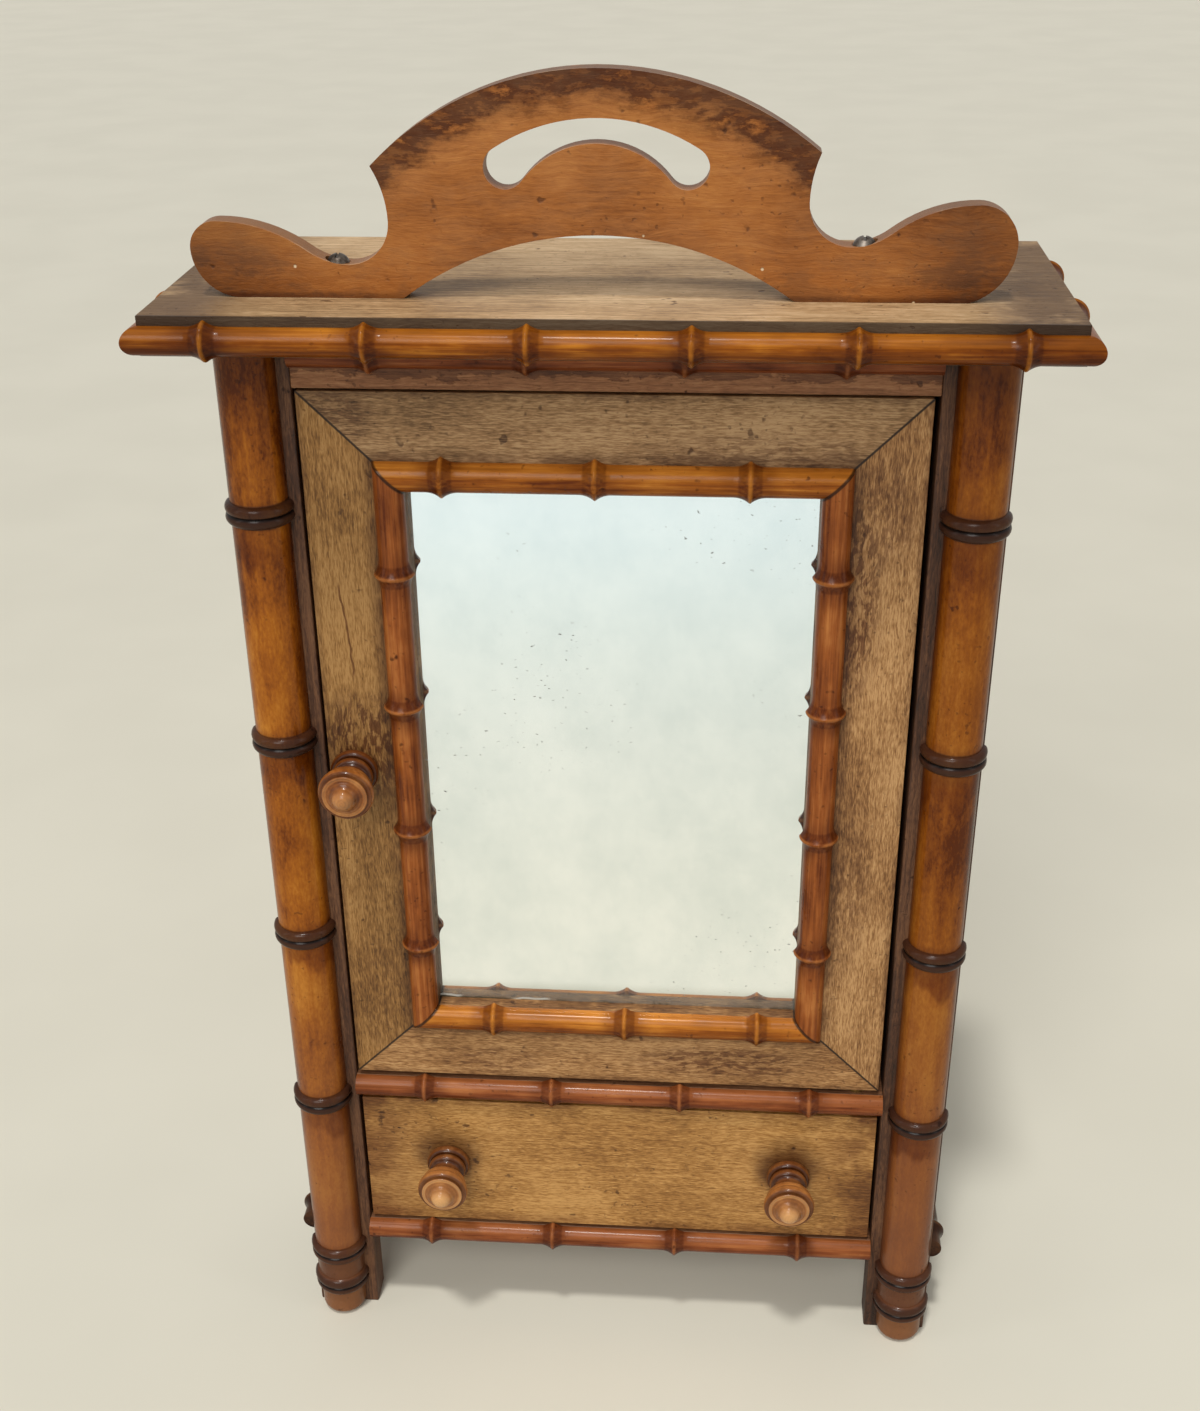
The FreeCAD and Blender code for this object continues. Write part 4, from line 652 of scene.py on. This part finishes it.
# Canes: the axis that each lies along, the place of one of its nodes and their pitch in mm, its
# stain, and if it is on the door
CANES = {
    "cornice_front": ("x", 31.7, 60, HONEY, False),
    "cornice_left": ("y", -18.35, 60, HONEY, False),
    "cornice_right": ("y", -18.35, 60, HONEY, False),
    "bed_moulding": ("x", 28.5, 62, RUSSET, False),
    "shelf_moulding": ("x", 30.4, 62, RUSSET, False),
    "bottom_moulding": ("x", 28.8, 62, RUSSET, False),
    "side_moulding_left": ("y", -10.5, 62, SMOKED, False),
    "side_moulding_right": ("y", -10.5, 62, SMOKED, False),
    "door_top_moulding": ("x", DOOR_X / MM - 6.5, 62, AMBER, True),
    "door_bottom_moulding": ("x", DOOR_X / MM + 4.5, 62, AMBER, True),
    "door_left_moulding": ("z", DOOR_Z / MM + 31, 62, TAWNY, True),
    "door_right_moulding": ("z", DOOR_Z / MM + 33, 62, TAWNY, True),
}
for count, (node, (axis, first, pitch, tones, on_door)) in enumerate(CANES.items()):
    stain = cane_look(node, axis, first * MM, pitch * MM, tones, 1.3 * count, on_door)
    dress(NODES[node], stain)

dress(NODES["post_left"], post_look("post_left_stain", 2.1, 0.0))
dress(NODES["post_right"], post_look("post_right_stain", 6.5, 0.55))

# Knobs: the seed of the noise and the wear of each
KNOBS = {
    "door_knob": (0.0, 0.0),
    "drawer_knob_left": (1.9, 0.7),
    "drawer_knob_right": (3.8, 0.5),
}
for node, (seed, wear) in KNOBS.items():
    dress(NODES[node], knob_look(node + "_stain", node, seed, wear))

UPRIGHT_CASE = plain_look("case_wood_upright", "z", CASE, 3.0)
LEVEL_CASE = plain_look("case_wood_level", "x", SHELF, 5.0)
UPRIGHT_BARE = plain_look("inner_wood_upright", "z", BARE, 6.0, 3 * MM)
LEVEL_BARE = plain_look("inner_wood_level", "x", BARE, 8.0, 3 * MM)
DEEP_BARE = plain_look("inner_wood_deep", "y", BARE, 11.0, 3 * MM)

# Stains on the door: the middle in X and Z, half the width, half the height and the depth of each
TOP_STAINS = [(-0.112, 0.488, 0.02, 0.016, 0.7), (0.06, 0.472, 0.06, 0.014, 0.6)]
LOW_STAINS = [(0.05, 0.170, 0.05, 0.012, 0.9), (-0.06, 0.166, 0.03, 0.010, 0.7)]
LEFT_STAINS = [(-0.109, 0.337, 0.026, 0.034, 1.0), (-0.110, 0.200, 0.020, 0.05, 0.4)]
RIGHT_STAINS = [(0.094, 0.405, 0.020, 0.060, 1.0), (0.108, 0.45, 0.018, 0.03, 0.7),
                (0.100, 0.27, 0.018, 0.06, 0.6)]
DOOR_TOP = door_look("door_top_wood", "x", BEECH, 1.5 * MM, 1.0, TOP_STAINS)
DOOR_BOTTOM = door_look("door_bottom_wood", "x", BEECH_PALE, 3 * MM, 2.0, LOW_STAINS)
DOOR_LEFT = door_look("door_left_wood", "z", BEECH_WARM, 1 * MM, 3.0, LEFT_STAINS, True)
DOOR_RIGHT = door_look("door_right_wood", "z", BEECH_PALE, 2.5 * MM, 4.0, RIGHT_STAINS)

# Boards: the width of their worn edges in mm, and their wood
BOARDS = {
    "door_top_rail": (0.5, DOOR_TOP),
    "door_bottom_rail": (0.5, DOOR_BOTTOM),
    "door_left_stile": (0.5, DOOR_LEFT),
    "door_right_stile": (0.5, DOOR_RIGHT),
    "drawer_front": (0.6, drawer_look()),
    "crest_board": (1.0, crest_look()),
    "top_board": (0.9, top_look()),
    "frieze_rail": (0.5, frieze_look()),
    "shelf_board": (0.5, LEVEL_CASE),
    "bottom_board": (0.5, LEVEL_CASE),
    "front_leg_left": (0.8, UPRIGHT_CASE),
    "front_leg_right": (0.8, UPRIGHT_CASE),
    "back_leg_left": (0.8, UPRIGHT_CASE),
    "back_leg_right": (0.8, UPRIGHT_CASE),
    "side_panel_left": (0.4, UPRIGHT_CASE),
    "side_panel_right": (0.4, UPRIGHT_CASE),
    "back_panel": (0.4, UPRIGHT_BARE),
    "glue_blocks": (0.6, DEEP_BARE),
    "door_stop": (0.5, LEVEL_BARE),
    "drawer_guide_left": (0.4, DEEP_BARE),
    "drawer_guide_right": (0.4, DEEP_BARE),
    "drawer_stops": (0.4, LEVEL_BARE),
    "drawer_back": (0.4, LEVEL_BARE),
    "drawer_bottom": (0.3, LEVEL_BARE),
    "drawer_side_left": (0.4, DEEP_BARE),
    "drawer_side_right": (0.4, DEEP_BARE),
    "mirror_backing": (0.3, UPRIGHT_BARE),
    "glazing_beads": (0.4, beads_look()),
}
for node, (width, material) in BOARDS.items():
    dress(softened(node, width * MM), material)

dress(NODES["mirror_glass"], mirror_look())
STEEL = metal_look("dark_steel", tone(120, 112, 104), tone(58, 48, 40), 0.0)
BRASS = metal_look("dull_brass", tone(168, 134, 74), tone(104, 80, 44), 2.0)
for node in ("crest_screws", "back_nails", "drawer_knob_screws", "upper_pivot_pin",
             "lower_pivot_pin", "latch_bar", "latch_nut", "latch_spindle"):
    dress(NODES[node], STEEL)
for node in ("pivot_washer", "latch_collar"):
    dress(NODES[node], BRASS)


def flat_floor(half_width, lines=3):
    """Floor: a level square about the origin, on a grid of two parameters."""
    steps = np.linspace(-half_width, half_width, lines)
    u, v = np.meshgrid(steps, steps)
    points = np.stack([u.ravel(), v.ravel(), np.zeros(u.size)], axis=1)
    cells = np.arange(lines - 1)
    corner = (cells[:, None] * lines + cells).ravel()
    faces = np.stack([corner, corner + 1, corner + lines + 1, corner + lines], axis=1)
    mesh = bpy.data.meshes.new("floor")
    mesh.from_pydata(points.tolist(), [], faces.tolist())
    floor = bpy.data.objects.new("floor", mesh)
    bpy.context.scene.collection.objects.link(floor)
    return floor


def soft_lamp(name, place, target, width, depth, power):
    """Rectangular lamp at a place, turned to a target."""
    lamp = bpy.data.lights.new(name, "AREA")
    lamp.shape = "RECTANGLE"
    lamp.size = width
    lamp.size_y = depth
    lamp.energy = power
    lamp.color = LAMP_COLOUR
    stand = bpy.data.objects.new(name, lamp)
    stand.location = place
    aim = Vector(target) - Vector(place)
    stand.rotation_euler = aim.to_track_quat("-Z", "Y").to_euler()
    bpy.context.scene.collection.objects.link(stand)


def soft_sun(name, height, side, spread, strength):
    """Even light from in front: its height above the floor, its turn to the right and its spread
    in degrees."""
    sun = bpy.data.lights.new(name, "SUN")
    sun.energy = strength
    sun.angle = math.radians(spread)
    sun.color = SUN_COLOUR
    rise, turn = math.radians(height), math.radians(side)
    towards = Vector((math.sin(turn) * math.cos(rise), -math.cos(turn) * math.cos(rise),
                      math.sin(rise)))
    stand = bpy.data.objects.new(name, sun)
    stand.rotation_euler = (-towards).to_track_quat("-Z", "Y").to_euler()
    bpy.context.scene.collection.objects.link(stand)


def pale_studio(light, seen):
    """World that lights by one strength, and shows at another where it is seen, mirrored or seen
    through glass."""
    world = bpy.data.worlds.new("studio")
    world.use_nodes = True
    sky = Value(world.node_tree)
    looks = sky.node("LightPath", output="Is Camera Ray")
    for ray in ("Is Glossy Ray", "Is Transmission Ray"):
        looks = looks.math("MAXIMUM", sky.node("LightPath", output=ray))
    strength = light + (seen - light) * looks
    background = world.node_tree.nodes["Background"]
    background.inputs["Color"].default_value = SKY_COLOUR
    world.node_tree.links.new(strength.socket, background.inputs["Strength"])
    bpy.context.scene.world = world


def photo_camera():
    """Camera at the photograph's place: turned by a yaw, down by a pitch and over by a roll."""
    yaw, pitch, roll = (math.radians(angle) for angle in CAMERA_TURNS)
    ahead = Vector((math.sin(yaw) * math.cos(pitch), math.cos(yaw) * math.cos(pitch),
                    -math.sin(pitch)))
    level = Vector((math.cos(yaw), -math.sin(yaw), 0))
    right = level * math.cos(roll) + level.cross(ahead) * math.sin(roll)
    turned = Matrix((right, right.cross(ahead), -ahead)).transposed().to_4x4()
    lens = bpy.data.cameras.new("camera")
    lens.sensor_width = SENSOR_WIDTH
    lens.lens = SENSOR_WIDTH * FOCAL_PIXELS / PHOTO_HEIGHT
    lens.clip_start = 10 * MM
    camera = bpy.data.objects.new("camera", lens)
    camera.matrix_world = Matrix.Translation(CAMERA_PLACE) @ turned
    bpy.context.scene.collection.objects.link(camera)
    bpy.context.scene.camera = camera


SUN_COLOUR = (1.0, 0.975, 0.94)
LAMP_COLOUR = (1.0, 0.98, 0.95)
SKY_COLOUR = (1.0, 0.985, 0.96, 1)
CAMERA_PLACE = (0.0462, FACE_Y - 0.6523, 0.7043)
CAMERA_TURNS = (-4.583, 27.732, -0.665)
SENSOR_WIDTH = 36
FOCAL_PIXELS = 1725.5
PHOTO_HEIGHT = 1411

dress(flat_floor(half_width=12), floor_look())
soft_sun("overhead", height=72, side=-12, spread=5, strength=1.3)
soft_sun("daylight", height=42, side=-14, spread=26, strength=1.0)
soft_lamp("front", (-0.5, -1.7, 1.5), (0, 0, 0.35), width=0.9, depth=0.9, power=6)
soft_lamp("left_strip", (-1.2, -0.5, 0.9), (0, 0, 0.3), width=0.25, depth=1.1, power=1.2)
soft_lamp("right_strip", (1.2, -0.5, 0.9), (0, 0, 0.3), width=0.25, depth=1.1, power=1.2)
pale_studio(light=0.29, seen=0.66)
bpy.context.scene.view_settings.view_transform = "Standard"

photo_camera()
